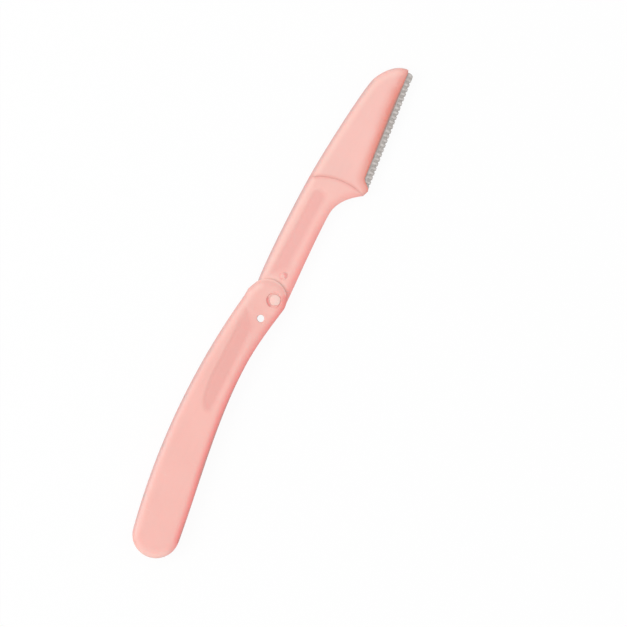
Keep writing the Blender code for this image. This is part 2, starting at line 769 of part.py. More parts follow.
def head_shells(dressed):
    points, rounds = head_outline()
    pockets = head_pockets()
    gap = SHELL_PARTING / 2
    front = plate(
        "head_front_shell", points, MIDDLE + gap, ARM_FRONT, high_round=rounds, dressed=dressed
    )
    back = plate("head_back_shell", points, ARM_BACK, MIDDLE - gap, low_round=rounds, dressed=dressed)
    cut(front, lip_bevel("front", 1), *pockets)
    cut(back, lip_bevel("back", -1), *pockets)
    nib_top = MIDDLE + TONGUE_THICKNESS / 2 + 2 * TONGUE_GAP
    cut(front, rod("nib_pocket", nib_centre(), NIB_RADIUS + TONGUE_GAP, MIDDLE, nib_top))
    for index, centre in enumerate(blade_post_centres()):
        top = MIDDLE + BLADE_POST_REACH
        root = MIDDLE - BLADE_POST_REACH
        radius = BLADE_POST_RADIUS + BLADE_POST_GAP
        cut(front, rod(f"blade_socket_{index}", centre, radius, MIDDLE, top + BLADE_POST_GAP))
        join(back, rod(f"blade_post_{index}", centre, BLADE_POST_RADIUS, root, top))
    return front, back


def blade(dressed):
    """A thin strip ground to an edge, with a hole for each post of the head."""
    edge = blade_edge()
    half = BLADE_THICKNESS / 2
    keen = BLADE_KEEN / 2
    back = edge + BLADE_HEIGHT
    profile = (
        (edge, MIDDLE - keen),
        (edge + BLADE_GRIND, MIDDLE - half),
        (back, MIDDLE - half),
        (back, MIDDLE + half),
        (edge + BLADE_GRIND, MIDDLE + half),
        (edge, MIDDLE + keen),
    )
    made = bar("blade", profile, BLADE_START, BLADE_END, dressed)
    beyond = on_edge(BLADE_END + CUT_PAST, back + CUT_PAST)
    past_end = on_edge(BLADE_END + CUT_PAST, back - BLADE_CORNER - CUT_PAST)
    past_back = on_edge(BLADE_END - BLADE_CORNER - CUT_PAST, back + CUT_PAST)
    clip = np.array((past_end, beyond, past_back))
    cut(made, plate("blade_corner_clip", clip, MIDDLE - CUT_PAST, MIDDLE + CUT_PAST))
    for index, centre in enumerate(blade_post_centres()):
        radius = BLADE_POST_RADIUS + BLADE_POST_GAP
        cut(made, rod(f"blade_hole_{index}", centre, radius, MIDDLE - CUT_PAST, MIDDLE + CUT_PAST))
    return made


def guard_profile():
    """Section of the sheet folded round the blade's edge, as (across, up) points."""
    outer = guard_half()
    inner = outer - GUARD_SHEET
    turn = np.linspace(math.pi / 2, 1.5 * math.pi, 7)
    outside = [(outer + outer * math.cos(a), MIDDLE + outer * math.sin(a)) for a in turn]
    inside = [(outer + inner * math.cos(a), MIDDLE + inner * math.sin(a)) for a in turn[::-1]]
    return [
        (GUARD_HEIGHT, MIDDLE + outer),
        *outside,
        (GUARD_HEIGHT, MIDDLE - outer),
        (GUARD_HEIGHT, MIDDLE - inner),
        *inside,
        (GUARD_HEIGHT, MIDDLE + inner),
    ]


def comb_slots():
    """One cutter with a tooth for each slot of the guard."""
    usable = GUARD_END - GUARD_START - GUARD_CORNER - 2 * GUARD_MARGIN
    count = int(usable / GUARD_PITCH) + 1
    first = GUARD_START + GUARD_MARGIN
    mesh = bmesh.new()
    for index in range(count):
        low = first + index * GUARD_PITCH
        near = []
        for along, across in (
            (low, -CUT_PAST),
            (low + GUARD_SLOT, -CUT_PAST),
            (low + GUARD_SLOT, GUARD_SLOT_REACH),
            (low, GUARD_SLOT_REACH),
        ):
            near.append(mesh.verts.new((*on_edge(along, across), MIDDLE - CUT_PAST)))
        base = mesh.faces.new(near)
        raised = bmesh.ops.extrude_face_region(mesh, geom=[base])["geom"]
        top = [item for item in raised if isinstance(item, bmesh.types.BMVert)]
        bmesh.ops.translate(mesh, verts=top, vec=(0, 0, 2 * CUT_PAST))
    return finished("comb_slots", mesh)


def guard(dressed):
    made = bar("comb_guard", guard_profile(), GUARD_START, GUARD_END, dressed)
    around = plate("guard_face_trim", guard_face(0.0), MIDDLE - CUT_PAST, MIDDLE + CUT_PAST)
    boolean(made, around, "INTERSECT")
    cut(made, comb_slots())
    return made


def hinge_on(pieces, name):
    """Parents the pieces to an empty on the fold axis."""
    axis = bpy.data.objects.new(name, None)
    axis.empty_display_size = HUB_RADIUS
    bpy.context.scene.collection.objects.link(axis)
    for piece in pieces:
        piece.parent = axis
    return axis


def main():
    clear_scene()
    scale_pink = material("scale_pink", SHELL_PINK, 0.35)
    arm_pink = material("arm_pink", ARM_PINK, 0.35)
    pin_pink = material("pin_pink", ARM_PINK, 0.4)
    washer_white = material("washer_white", WASHER_WHITE, 0.5)
    blade_steel = material("blade_steel", BLADE_GREY, 0.2, 1.0)
    guard_steel = material("guard_steel", GUARD_GREY, 0.35, 1.0)
    handle_scales(scale_pink)
    handle_spine(scale_pink)
    pivot_pin(pin_pink)
    pivot_washers(washer_white)
    swinging = arm(arm_pink)
    fold_axis = hinge_on([swinging], "fold_axis")
    head = hinge_on([*head_shells(arm_pink), blade(blade_steel), guard(guard_steel)], "head_slide")
    head.parent = fold_axis


main()
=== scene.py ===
"""The looks of an open folding razor with a comb guard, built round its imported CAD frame.

Plans and sizes are in millimetres in the frame's own axes: X along the open razor towards the tip of the
head, the blade's edge facing -Y, Z up from the back face. Meshes are written in metres. Every moulded
piece is a plate whose faces are height fields over one plan: the face's level, less the drop of its
rounded edges, plus the relief of its recesses, pits and bumps.
"""

import logging
import math
from dataclasses import dataclass, field
from enum import Enum
from typing import Callable, Iterable, Protocol

import bmesh
import bpy
import numpy as np
from mathutils import Matrix, Vector
from mathutils.geometry import delaunay_2d_cdt


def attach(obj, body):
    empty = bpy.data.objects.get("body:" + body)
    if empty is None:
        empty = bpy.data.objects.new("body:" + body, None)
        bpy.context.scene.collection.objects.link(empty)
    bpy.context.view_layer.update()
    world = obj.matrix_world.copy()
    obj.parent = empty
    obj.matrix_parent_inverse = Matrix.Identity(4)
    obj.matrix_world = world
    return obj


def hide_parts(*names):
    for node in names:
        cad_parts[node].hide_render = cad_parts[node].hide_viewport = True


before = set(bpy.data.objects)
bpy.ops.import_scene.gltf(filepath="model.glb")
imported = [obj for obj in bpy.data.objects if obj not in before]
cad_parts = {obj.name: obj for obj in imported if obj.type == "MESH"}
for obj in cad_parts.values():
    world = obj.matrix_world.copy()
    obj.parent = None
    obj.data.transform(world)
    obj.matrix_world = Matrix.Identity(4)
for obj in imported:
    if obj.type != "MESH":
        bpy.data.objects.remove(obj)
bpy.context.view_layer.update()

log = logging.getLogger("folding_razor")

MM = 0.001
STEP = 0.35  # spacing of points along an outline
BORDER = (0.0, 0.006, 0.022, 0.05, 0.09, 0.15)  # insets of the rows of faces next to an outline
RING_INSETS = (0.23, 0.33, 0.45, 0.6, 0.78, 0.98, 1.2, 1.45, 1.7, 2.1, 2.6, 3.1)
PLAIN_INSETS = (0.23, 0.4)  # the same for a plate with narrow edges
FILL_STEP = 1.3  # spacing of points on the flat of a face
CLEAR = 0.05  # room that a loose point leaves round a border
SMALLEST_CIRCLE = 0.2  # radius under which a pit gets no more circles of points
STRAY = 0.02  # how far a point beside an outline may be off its inset, in millimetres and as a share of it
SAME_POINT = 1e-3  # points of an outline that are nearer than this are one
WELD = 1e-7  # the same for the triangulation
TINY = 1e-12  # stands in for a length of nothing that something is divided by
BATCH = 3000  # points that are measured at a time
SHARP = math.radians(40)
FULL_TURN = 2 * math.pi
PIVOT = (0.0, 0.0)
IMAGE_PIXELS = 627
MM_PER_PIXEL = 0.3

Point = tuple[float, float] | np.ndarray
Numbers = float | list | np.ndarray
Socket = bpy.types.NodeSocket
Value = Socket | float | tuple[float, ...]  # a node's output, or what an input holds without a link


# Plans


def unit(angles: np.ndarray) -> np.ndarray:
    """Unit vectors at these angles."""
    return np.column_stack((np.cos(angles), np.sin(angles)))


def on_circle(centre: Point, radius: float, start: float, end: float, step: float = STEP) -> np.ndarray:
    """Points of an arc, both ends among them: centre plus radius times (cosine, sine) of even angles.

    Args:
        centre: (x, y) of the circle.
        radius: its radius.
        start: first angle, in radians.
        end: last angle, in radians.
        step: wanted spacing.
    """
    count = max(3, int(abs(end - start) * radius / step) + 1)
    return unit(np.linspace(start, end, count)) * radius + np.asarray(centre, float)


def ring(centre: Point, radius: float, count: int) -> np.ndarray:
    """A closed circle of that many points, anticlockwise."""
    return unit(np.arange(count) * FULL_TURN / count) * radius + np.asarray(centre, float)


def respaced(points: np.ndarray, step: float = STEP) -> np.ndarray:
    """The same open line with points evenly spaced by length: x and y interpolated over arc length."""
    lengths = np.concatenate(([0.0], np.cumsum(np.linalg.norm(np.diff(points, axis=0), axis=1))))
    wanted = np.linspace(0, lengths[-1], max(2, int(round(lengths[-1] / step)) + 1))
    return np.column_stack([np.interp(wanted, lengths, points[:, axis]) for axis in (0, 1)])


def pulled(start: Point, leaving: Point, end: Point, arriving: Point) -> np.ndarray:
    """A cubic Bezier line whose handles reach by leaving from its start and by arriving from its end.

    Args:
        start: first point.
        leaving: vector from the start to its handle.
        end: last point.
        arriving: vector from the end's handle to the end.

    Returns:
        Evenly spaced points, both ends among them.
    """
    share = np.linspace(0, 1, 240)[:, None]
    rest = 1 - share
    start, end = np.asarray(start, float), np.asarray(end, float)
    first, second = start + leaving, end - arriving
    early = rest**3 * start + 3 * rest**2 * share * first
    return respaced(early + 3 * rest * share**2 * second + share**3 * end)


def straight(start: Point, end: Point) -> np.ndarray:
    """Evenly spaced points from start to end."""
    return respaced(np.array((start, end), float))


def heading(angle: float, length: float) -> np.ndarray:
    """The vector of that length at that angle."""
    return np.array((math.cos(angle), math.sin(angle))) * length


def bearing(centre: Point, point: Point) -> float:
    """Angle at which the point lies from the centre."""
    return math.atan2(point[1] - centre[1], point[0] - centre[0])


def closed(*stretches: np.ndarray) -> np.ndarray:
    """The stretches as one closed outline in which no point stands twice."""
    points = np.vstack(stretches)
    gap = np.linalg.norm(points - np.roll(points, 1, axis=0), axis=1)
    return points[gap > SAME_POINT]


def looped(points: np.ndarray) -> np.ndarray:
    """A closed outline as an open line that ends where it starts."""
    return np.vstack((points, points[:1]))


def inward_steps(points: np.ndarray) -> np.ndarray:
    """For each point of a closed anticlockwise outline, the step that moves both its sides in by one.

    The two sides' left normals are added and divided by one plus their dot product.
    """
    sides = (points - np.roll(points, 1, axis=0), np.roll(points, -1, axis=0) - points)
    runs = [side / np.linalg.norm(side, axis=1)[:, None] for side in sides]
    first, second = (np.column_stack((-run[:, 1], run[:, 0])) for run in runs)
    return (first + second) / (1 + (first * second).sum(axis=1))[:, None]


def shifted(line: np.ndarray, amount: float) -> np.ndarray:
    """An open line moved to its left by that amount, along the normals of its points."""
    run = np.gradient(line, axis=0)
    run /= np.linalg.norm(run, axis=1)[:, None]
    return line + np.column_stack((-run[:, 1], run[:, 0])) * amount


def graded(line: np.ndarray, values: dict[float, float]) -> np.ndarray:
    """A value for each point of a line, carried evenly between the values given at some X."""
    return np.interp(line[:, 0], list(values), list(values.values()))


def nearest(points: np.ndarray, line: np.ndarray) -> tuple[np.ndarray, np.ndarray]:
    """How far each point is from an open line, and where on the line it is nearest.

    Args:
        points: (n, 2) array.
        line: (m, 2) array, the line's points in order.

    Returns:
        n distances, and n places counted in the line's points.
    """
    start, run = line[:-1], np.diff(line, axis=0)
    length = np.maximum((run**2).sum(axis=1), TINY)
    distances, places = [], []
    for part in np.array_split(points, len(points) // BATCH + 1):
        away = part[:, None] - start[None]
        share = np.clip((away * run).sum(axis=2) / length, 0, 1)
        squares = ((away - share[..., None] * run) ** 2).sum(axis=2)
        side = squares.argmin(axis=1)
        row = np.arange(len(part))
        distances.append(np.sqrt(squares[row, side]))
        places.append(side + share[row, side])
    return np.concatenate(distances), np.concatenate(places)


def distance(points: np.ndarray, line: np.ndarray) -> np.ndarray:
    """How far each point is from an open line."""
    return nearest(points, line)[0]


def inside(points: np.ndarray, outline: np.ndarray) -> np.ndarray:
    """True for each point within the closed outline, by how often a ray along +X crosses it."""
    ax, ay = outline[:, 0], outline[:, 1]
    bx, by = np.roll(ax, -1), np.roll(ay, -1)
    rise = np.where(by == ay, TINY, by - ay)
    found = []
    for part in np.array_split(points, len(points) // BATCH + 1):
        x, y = part[:, :1], part[:, 1:]
        crossing = ((ay > y) != (by > y)) & (x < (bx - ax) * (y - ay) / rise + ax)
        found.append(crossing.sum(axis=1) % 2 == 1)
    return np.concatenate(found)


def depth_in(points: np.ndarray, outline: np.ndarray) -> np.ndarray:
    """Distance to the closed outline, positive inside it and negative outside."""
    away = distance(points, looped(outline))
    return np.where(inside(points, outline), away, -away)


def beside(outline: np.ndarray, insets: Iterable[float]) -> np.ndarray:
    """Points that run along the outline at these insets, without those that another side is nearer to."""
    step = inward_steps(outline)
    kept = []
    for inset in insets:
        moved = outline + step * inset
        kept.append(moved[np.abs(depth_in(moved, outline) - inset) < STRAY + STRAY * abs(inset)])
    return np.vstack(kept)


def eased(share: np.ndarray) -> np.ndarray:
    """From 0 to 1 with level ends: three times the square less twice the cube."""
    share = np.clip(share, 0, 1)
    return share * share * (3 - 2 * share)


def quarter(share: np.ndarray) -> np.ndarray:
    """From 0 to 1 down a quarter of a circle."""
    return 1 - np.sqrt(1 - np.clip(share, 0, 1) ** 2)


# What the faces of a plate carry


@dataclass(frozen=True)
class Edge:
    """A rounded edge along a line, with one width and height or a value for each point of the line.

    The power is 2 for a quarter of an ellipse, and nearer to 1 for a flatter chamfer.
    """

    line: np.ndarray
    width: float | np.ndarray
    height: float | np.ndarray
    power: float | np.ndarray = 2.0

    def drop(self, points: np.ndarray) -> np.ndarray:
        """Height lost at each point: the height times one less the power's root of one less share^power.

        The share is 1 at the line and 0 at the width.
        """
        away, place = nearest(points, self.line)
        count = np.arange(len(self.line))
        sizes = (np.broadcast_to(size, len(count)) for size in (self.width, self.height, self.power))
        width, height, power = (np.interp(place, count, size) for size in sizes)
        share = 1 - np.clip(away / width, 0, 1)
        return height * (1 - np.clip(1 - share**power, 0, 1) ** (1 / power))


@dataclass(frozen=True)
class Grind(Edge):
    """A flat ground bevel down to an edge."""

    def drop(self, points: np.ndarray) -> np.ndarray:
        """Height lost at each point: all of it at the line and none at the width, evenly between."""
        return self.height * (1 - np.clip(distance(points, self.line) / self.width, 0, 1))


def smooth_most(drops: list[np.ndarray]) -> np.ndarray:
    """The cube root of the sum of cubes, which is the largest drop with its corners eased."""
    return np.cbrt(sum(drop**3 for drop in drops))


class Relief(Protocol):
    """A feature of a face: how much it raises the face, and the points it needs there."""

    def raise_at(self, points: np.ndarray) -> np.ndarray:
        """Height that it adds at each point, negative in a recess."""

    def samples(self) -> np.ndarray:
        """Points of the plan that show its shape."""


@dataclass(frozen=True)
class GripRecess:
    """A shallow recess: an eased slope over its outline, wider low down and widest at its near end."""

    outline: np.ndarray
    near_x: float
    depth: float = 0.17
    firm: float = 1.15
    soft: float = 2.2
    softest: float = 3.6
    near_run: float = 5.0

    def share(self, points: np.ndarray) -> np.ndarray:
        """0 on the face, a half over the outline and 1 on the floor."""
        low, high = self.outline[:, 1].min(), self.outline[:, 1].max()
        down = eased((high - points[:, 1]) / (high - low))
        near = eased(1 - np.abs(points[:, 0] - self.near_x) / self.near_run)
        width = self.firm + (self.soft - self.firm) * down
        width += (self.softest - width) * near
        return eased(0.5 + depth_in(points, self.outline) / width)

    def raise_at(self, points: np.ndarray) -> np.ndarray:
        """Minus the depth times that share."""
        return -self.depth * self.share(points)

    def samples(self) -> np.ndarray:
        """Lines beside the outline, over the widths of its slopes."""
        return beside(self.outline, np.linspace(-self.softest, self.softest, 15) / 2)


@dataclass(frozen=True)
class Round:
    """What every round feature has: a centre and a radius."""

    centre: tuple[float, float]
    radius: float

    def away(self, points: np.ndarray) -> np.ndarray:
        """Distance of each point from the centre."""
        return np.linalg.norm(points - self.centre, axis=1)

    def circles(self, radii: Iterable[float], count: int) -> np.ndarray:
        """Points on circles of these radii round the centre."""
        return np.vstack([ring(self.centre, radius, count) for radius in radii])


@dataclass(frozen=True)
class Pit(Round):
    """A round pit with a rounded lip and a steep wall."""

    depth: float
    lip: float = 0.12
    wall: float = 0.02

    def raise_at(self, points: np.ndarray) -> np.ndarray:
        """A quarter circle down the lip, then the wall's straight slope to the floor."""
        out = self.away(points) - self.radius
        wall = (self.depth - self.lip) * np.clip(-out / self.wall, 0, 1)
        return -np.where(out >= 0, self.lip * quarter(1 - out / self.lip), self.lip + wall)

    def samples(self) -> np.ndarray:
        """Circles over the lip, at the wall's top and foot, and on the floor."""
        radii = [self.radius + self.lip * share for share in (1.6, 1.0, 0.7, 0.42, 0.2, 0.06, 0)]
        radii += [self.radius - self.wall - inset for inset in (0, 0.1, 0.25, 0.4, 0.55)]
        return self.circles([radius for radius in radii if radius > SMALLEST_CIRCLE], 72)


@dataclass(frozen=True)
class HoleRim(Round):
    """The rounded rim of a round hole."""

    size: float = 0.14

    def raise_at(self, points: np.ndarray) -> np.ndarray:
        """A quarter circle down into the hole."""
        return -self.size * quarter(1 - (self.away(points) - self.radius) / self.size)

    def samples(self) -> np.ndarray:
        """Two circles on the flat round it."""
        return self.circles((self.radius + 0.26, self.radius + 0.45), 64)


@dataclass(frozen=True)
class Bump(Round):
    """A low round bump with an eased flank and a slightly hollow crown."""

    height: float
    crown: float = 0.7
    hollow: float = 0.15

    def raise_at(self, points: np.ndarray) -> np.ndarray:
        """The height times an eased flank, less a shallow bowl over the crown."""
        out = self.away(points) / self.radius
        flank = eased((1 - out) / (1 - self.crown))
        return self.height * (flank - self.hollow * eased(1 - out / self.crown))

    def samples(self) -> np.ndarray:
        """Circles from outside the foot to the middle."""
        return self.circles(self.radius * np.linspace(1.08, 0.1, 15), 48)


@dataclass(frozen=True)
class Hole(Round):
    """A round hole through a plate, drawn with count sides."""

    count: int = 64


class Mask(Enum):
    """Values that a mesh carries for its material."""

    DEEP = "deep"  # painted shade: deeper, redder colour on sides turned from the light; above 1 it darkens too
    RIM = "rim"  # painted grey shade: the thin greyer line at a silhouette, and shaded crescents
    GRIP = "grip"  # the matte floor of a grip recess
    BRIGHT = "bright"  # painted highlight bands on plastic; on steel, brighter rib crests, partly rubbed wear and partly a painted highlight


@dataclass(frozen=True)
class Tone:
    """Where a mask rises: along a line, over a width, by one strength or one for each point of the line."""

    line: np.ndarray
    width: float
    strength: float | np.ndarray
    mask: Mask = Mask.DEEP

    def at(self, points: np.ndarray) -> np.ndarray:
        """The strength at the line, eased to nothing at the width."""
        away, place = nearest(points, self.line)
        count = len(self.line)
        strength = np.interp(place, np.arange(count), np.broadcast_to(self.strength, count))
        return strength * eased(1 - away / self.width)


@dataclass
class Face:
    """One face of a plate: its level, which way it looks, its rounded edges and its reliefs."""

    level: float
    up: int
    edges: list[Edge]
    reliefs: list[Relief] = field(default_factory=list)

    def heights(self, points: np.ndarray) -> np.ndarray:
        """Level of the face over each point of the plan."""
        drop = smooth_most([edge.drop(points) for edge in self.edges])
        raised = sum((relief.raise_at(points) for relief in self.reliefs), np.zeros(len(points)))
        return self.level + self.up * (raised - drop)


def both_faces(
    low: float, high: float, edges: list[Edge], reliefs: Iterable[Relief] = ()
) -> tuple[Face, Face]:
    """A plate's low and high face with the same edges and reliefs."""
    return Face(low, -1, edges, list(reliefs)), Face(high, 1, edges, list(reliefs))


# Meshes


@dataclass
class Solid:
    """A mesh in millimetres, with a value per vertex for each named mask."""

    vertices: np.ndarray
    faces: list[tuple[int, ...]]
    masks: dict[str, np.ndarray] = field(default_factory=dict)

    def mirrored(self, level: float) -> "Solid":
        """Its mirror image in the horizontal plane at that level."""
        turned = self.vertices * (1, 1, -1) + (0, 0, 2 * level)
        return Solid(turned, [face[::-1] for face in self.faces], dict(self.masks))

    def joined(self, *others: "Solid") -> "Solid":
        """One mesh that holds this one and the others."""
        solids = (self, *others)
        masks = {}
        for name in sorted({name for solid in solids for name in solid.masks}):
            parts = [solid.masks.get(name, np.zeros(len(solid.vertices))) for solid in solids]
            masks[name] = np.concatenate(parts)
        vertices, faces, start = np.vstack([solid.vertices for solid in solids]), [], 0
        for solid in solids:
            faces += [tuple(corner + start for corner in face) for face in solid.faces]
            start += len(solid.vertices)
        return Solid(vertices, faces, masks)

    def piece(self, name: str, dressed: bpy.types.Material) -> bpy.types.Object:
        """Makes it an object of the scene, in metres.

        Args:
            name: the object's name.
            dressed: its material.

        Returns:
            The object, at the origin, smooth but for its sharp edges.
        """
        mesh = bpy.data.meshes.new(name)
        mesh.from_pydata((self.vertices * MM).tolist(), [], self.faces)
        for mask, values in self.masks.items():
            layer = mesh.attributes.new(mask, "FLOAT", "POINT")
            layer.data.foreach_set("value", values.astype(np.float32))
        mesh.materials.append(dressed)
        smoothed(mesh)
        return linked(name, mesh)


def linked(name: str, data: bpy.types.ID) -> bpy.types.Object:
    """A new object of the scene with that data."""
    made = bpy.data.objects.new(name, data)
    bpy.context.scene.collection.objects.link(made)
    return made


def smoothed(mesh: bpy.types.Mesh) -> None:
    """Turns a mesh's faces outwards and shades it smooth, with its sharp edges kept."""
    editable = bmesh.new()
    editable.from_mesh(mesh)
    bmesh.ops.recalc_face_normals(editable, faces=editable.faces)
    editable.to_mesh(mesh)
    editable.free()
    mesh.shade_smooth()
    mesh.set_sharp_from_angle(angle=SHARP)


def modify(piece: bpy.types.Object, kind: str, **settings: object) -> None:
    """Puts a modifier of the kind on a piece, with its settings."""
    modifier = piece.modifiers.new(kind.lower(), kind)
    for name, value in settings.items():
        setattr(modifier, name, value)


def settle(piece: bpy.types.Object) -> None:
    """Replaces a piece's mesh by what its modifiers make of it."""
    graph = bpy.context.evaluated_depsgraph_get()
    done = bpy.data.meshes.new_from_object(piece.evaluated_get(graph), depsgraph=graph)
    piece.modifiers.clear()
    piece.data = done
    smoothed(done)


def strips(rows: int, count: int, start: int = 0, around: bool = True) -> list[tuple[int, ...]]:
    """Four-sided faces between rows of as many vertices each, numbered row by row from start.

    Args:
        rows: how many rows.
        count: vertices in a row.
        start: number of the first vertex.
        around: whether the last vertex of a row joins the first.
    """
    here = np.arange(count if around else count - 1)
    there = (here + 1) % count
    lower = (np.arange(rows - 1) * count + start)[:, None]
    quads = np.stack((lower + here, lower + there, lower + count + there, lower + count + here), axis=-1)
    return [tuple(quad) for quad in quads.reshape(-1, 4).tolist()]


def turned(
    profile: np.ndarray, centre: Point = PIVOT, count: int = 64, scallop: Callable | None = None
) -> Solid:
    """A solid of revolution: each profile point (radius, height) carried round the centre.

    Args:
        profile: points from the axis at one end to the axis at the other.
        centre: (x, y) of the axis.
        count: steps round the axis.
        scallop: optional factor of the radius, from the angles and the profile's points.

    Returns:
        The closed solid, with one vertex at each pole.
    """
    profile = np.asarray(profile, float)
    angles = np.arange(count) * FULL_TURN / count
    radius = np.repeat(profile[1:-1, :1], count, axis=1)
    if scallop:
        radius = radius * scallop(angles[None], profile[1:-1])
    x = centre[0] + radius * np.cos(angles)
    y = centre[1] + radius * np.sin(angles)
    z = np.repeat(profile[1:-1, 1:], count, axis=1)
    body = np.stack((x, y, z), axis=-1).reshape(-1, 3)
    poles = np.array(((*centre, profile[0, 1]), (*centre, profile[-1, 1])))
    rows = len(profile) - 2
    first, top = rows * count, (rows - 1) * count
    faces = strips(rows, count)
    faces += [(first, (i + 1) % count, i) for i in range(count)]
    faces += [(first + 1, top + i, top + (i + 1) % count) for i in range(count)]
    return Solid(np.vstack((body, poles)), faces)


@dataclass
class Plate:
    """A moulded plate: an outline, holes through it, and a face on each side."""

    outline: np.ndarray
    low: Face
    high: Face
    holes: list[Hole] = field(default_factory=list)
    tones: list[Tone] = field(default_factory=list)
    insets: tuple[float, ...] = RING_INSETS

    def borders(self) -> list[np.ndarray]:
        """For the outline and each hole, rows of points from it into the material."""
        loops = [self.outline] + [ring(hole.centre, hole.radius, hole.count)[::-1] for hole in self.holes]
        insets = np.array(BORDER)[:, None, None]
        return [loop[None] + inward_steps(loop)[None] * insets for loop in loops]

    def loose_points(self, rim: np.ndarray) -> np.ndarray:
        """Points inside the outer rim: beside the outline, on the reliefs, and a grid over the flat."""
        low, high = self.outline.min(axis=0), self.outline.max(axis=0)
        grid = np.mgrid[low[0] : high[0] : FILL_STEP, low[1] : high[1] : FILL_STEP].reshape(2, -1).T
        groups = [beside(self.outline, self.insets), grid]
        groups += [relief.samples() for face in (self.low, self.high) for relief in face.reliefs]
        points = np.unique(np.round(np.vstack(groups), 3), axis=0)
        points = points[inside(points, rim)]
        points = points[distance(points, looped(rim)) > CLEAR]
        for hole in self.holes:
            points = points[hole.away(points) > hole.radius + BORDER[-1] + CLEAR]
        return points

    def plan(self) -> tuple[np.ndarray, list[tuple[int, ...]], list[tuple[int, int]]]:
        """The plan as points and faces: rows of quads along each border, and triangles between them.

        Returns:
            The points, the faces, and for each border its first vertex and how many its row has.
        """
        points, faces, starts, rims, rim_ids, sides = [], [], [], [], [], []
        total = 0
        for rows in self.borders():
            count = rows.shape[1]
            points.append(rows.reshape(-1, 2))
            faces += strips(len(BORDER), count, total)
            starts.append((total, count))
            at = sum(len(rim) for rim in rims)
            sides += [(at + i, at + (i + 1) % count) for i in range(count)]
            rims.append(rows[-1])
            rim_ids.append(total + (len(BORDER) - 1) * count + np.arange(count))
            total += len(BORDER) * count
        known = np.concatenate(rim_ids)
        flat = np.vstack((*rims, self.loose_points(rims[0])))
        cells = delaunay_2d_cdt([Vector(point) for point in flat.tolist()], sides, [], 0, WELD)
        made = np.array([tuple(point) for point in cells[0]])
        triangles = np.array(cells[2])
        centres = made[triangles].mean(axis=1)
        keep = inside(centres, rims[0])
        for rim in rims[1:]:
            keep &= ~inside(centres, rim)
        number, extra = np.empty(len(made), int), []
        for index, origin in enumerate(cells[3]):
            rim_points = [i for i in origin if i < len(known)]
            number[index] = known[rim_points[0]] if rim_points else total + len(extra)
            if not rim_points:
                extra.append(made[index])
        points.append(np.array(extra))
        faces += [tuple(face) for face in number[triangles[keep]].tolist()]
        return np.vstack(points), faces, starts

    def solid(self) -> Solid:
        """The plate as a closed solid with its masks."""
        points, faces, starts = self.plan()
        count = len(points)
        sides = (self.high, self.low)
        vertices = np.vstack([np.column_stack((points, face.heights(points))) for face in sides])
        masks = {mask.value: np.tile(self.toned(points, mask), 2) for mask in Mask if mask is not Mask.GRIP}
        masks[Mask.GRIP.value] = np.concatenate([self.grip(face, points) for face in sides])
        skin = list(faces) + [tuple(corner + count for corner in face[::-1]) for face in faces]
        for start, length in starts:
            for i in range(length):
                here, there = start + i, start + (i + 1) % length
                skin.append((here + count, there + count, there, here))
        return Solid(vertices, skin, masks)

    def toned(self, points: np.ndarray, mask: Mask) -> np.ndarray:
        """The largest of the tones of that mask at each point."""
        values = [tone.at(points) for tone in self.tones if tone.mask is mask]
        return np.max([np.zeros(len(points)), *values], axis=0)

    @staticmethod
    def grip(face: Face, points: np.ndarray) -> np.ndarray:
        """How far each point lies down in a grip recess of that face, from 0 to 1."""
        recesses = [relief for relief in face.reliefs if isinstance(relief, GripRecess)]
        return sum((recess.share(points) for recess in recesses), np.zeros(len(points)))


# Sizes that several pieces share


@dataclass(frozen=True)
class Levels:
    """Heights of the faces above the back face."""

    slot_floor: float = 1.3
    arm_back: float = 1.6
    middle: float = 3.0
    arm_front: float = 4.4
    slot_roof: float = 4.7
    front_face: float = 6.0


@dataclass(frozen=True)
class EdgeSizes:
    """Width and height of the rounded edges."""

    scale: tuple[float, float] = (2.6, 1.1)
    arm: tuple[float, float] = (2.2, 0.9)
    seam: tuple[float, float] = (0.7, 0.12)
    fine: tuple[float, float] = (0.22, 0.15)
    parting: tuple[float, float] = (0.1, 0.08)
    lip: tuple[float, float] = (3.0, 0.675)


LEVELS = Levels()
EDGES = EdgeSizes()
FOLD_ANGLE = math.radians(178)
# width and strength of the painted shade along the seam between the arm and the head
SEAM_PAINTED_SHADE = (1.2, 0.38)
HIGHLIGHT_BAND_INSET = 1.6  # how far the painted highlight band runs inside the back


def folded(points: np.ndarray) -> np.ndarray:
    """Where points of the arm lie once it is folded: turned clockwise about the pivot."""
    cos, sin = math.cos(FOLD_ANGLE), math.sin(FOLD_ANGLE)
    x, y = points.T
    return np.column_stack((x * cos + y * sin, y * cos - x * sin))


# Finishes


class Colour(Enum):
    """Linear colours of the razor's materials."""

    HANDLE = (0.890, 0.485, 0.431)
    ARM = (0.920, 0.526, 0.470)
    HEAD = (0.930, 0.533, 0.480)
    # painted shade: deeper, redder plastic on edges turned from the light
    DEEP = (0.910, 0.290, 0.265)
    # painted shade of the head's slope down to the guard
    LIP = (0.815, 0.262, 0.207)
    # painted shade, darker still, where the deep mask passes 1
    SHADE = (0.420, 0.230, 0.200)
    # painted grey shade: the line at silhouettes and the shaded crescents
    RIM = (0.620, 0.402, 0.386)
    # painted highlight: lighter plastic along rounded edges and where shadows fall
    PALE = (0.970, 0.605, 0.540)
    SCUFF = (0.960, 0.800, 0.760)
    PIN = (0.965, 0.620, 0.558)
    WASHER = (0.800, 0.780, 0.740)
    BLADE = (0.420, 0.385, 0.362)
    GUARD = (0.440, 0.408, 0.386)
    GUARD_DARK = (0.298, 0.275, 0.257)
    # brighter steel for the drawn lines and the rib crests; on the crests partly rubbed wear, partly a painted
    # highlight
    GUARD_BRIGHT = (0.600, 0.558, 0.535)
    FLOOR = (0.900, 0.900, 0.900)

    def scaled(self, *shares: float) -> tuple[float, ...]:
        """The colour times one share, or a share for each part, with full alpha."""
        factors = shares if len(shares) == 3 else shares * 3
        return (*(min(1.0, part * factor) for part, factor in zip(self.value, factors)), 1.0)

    @property
    def rgba(self) -> tuple[float, ...]:
        """The colour with full alpha."""
        return self.scaled(1.0)


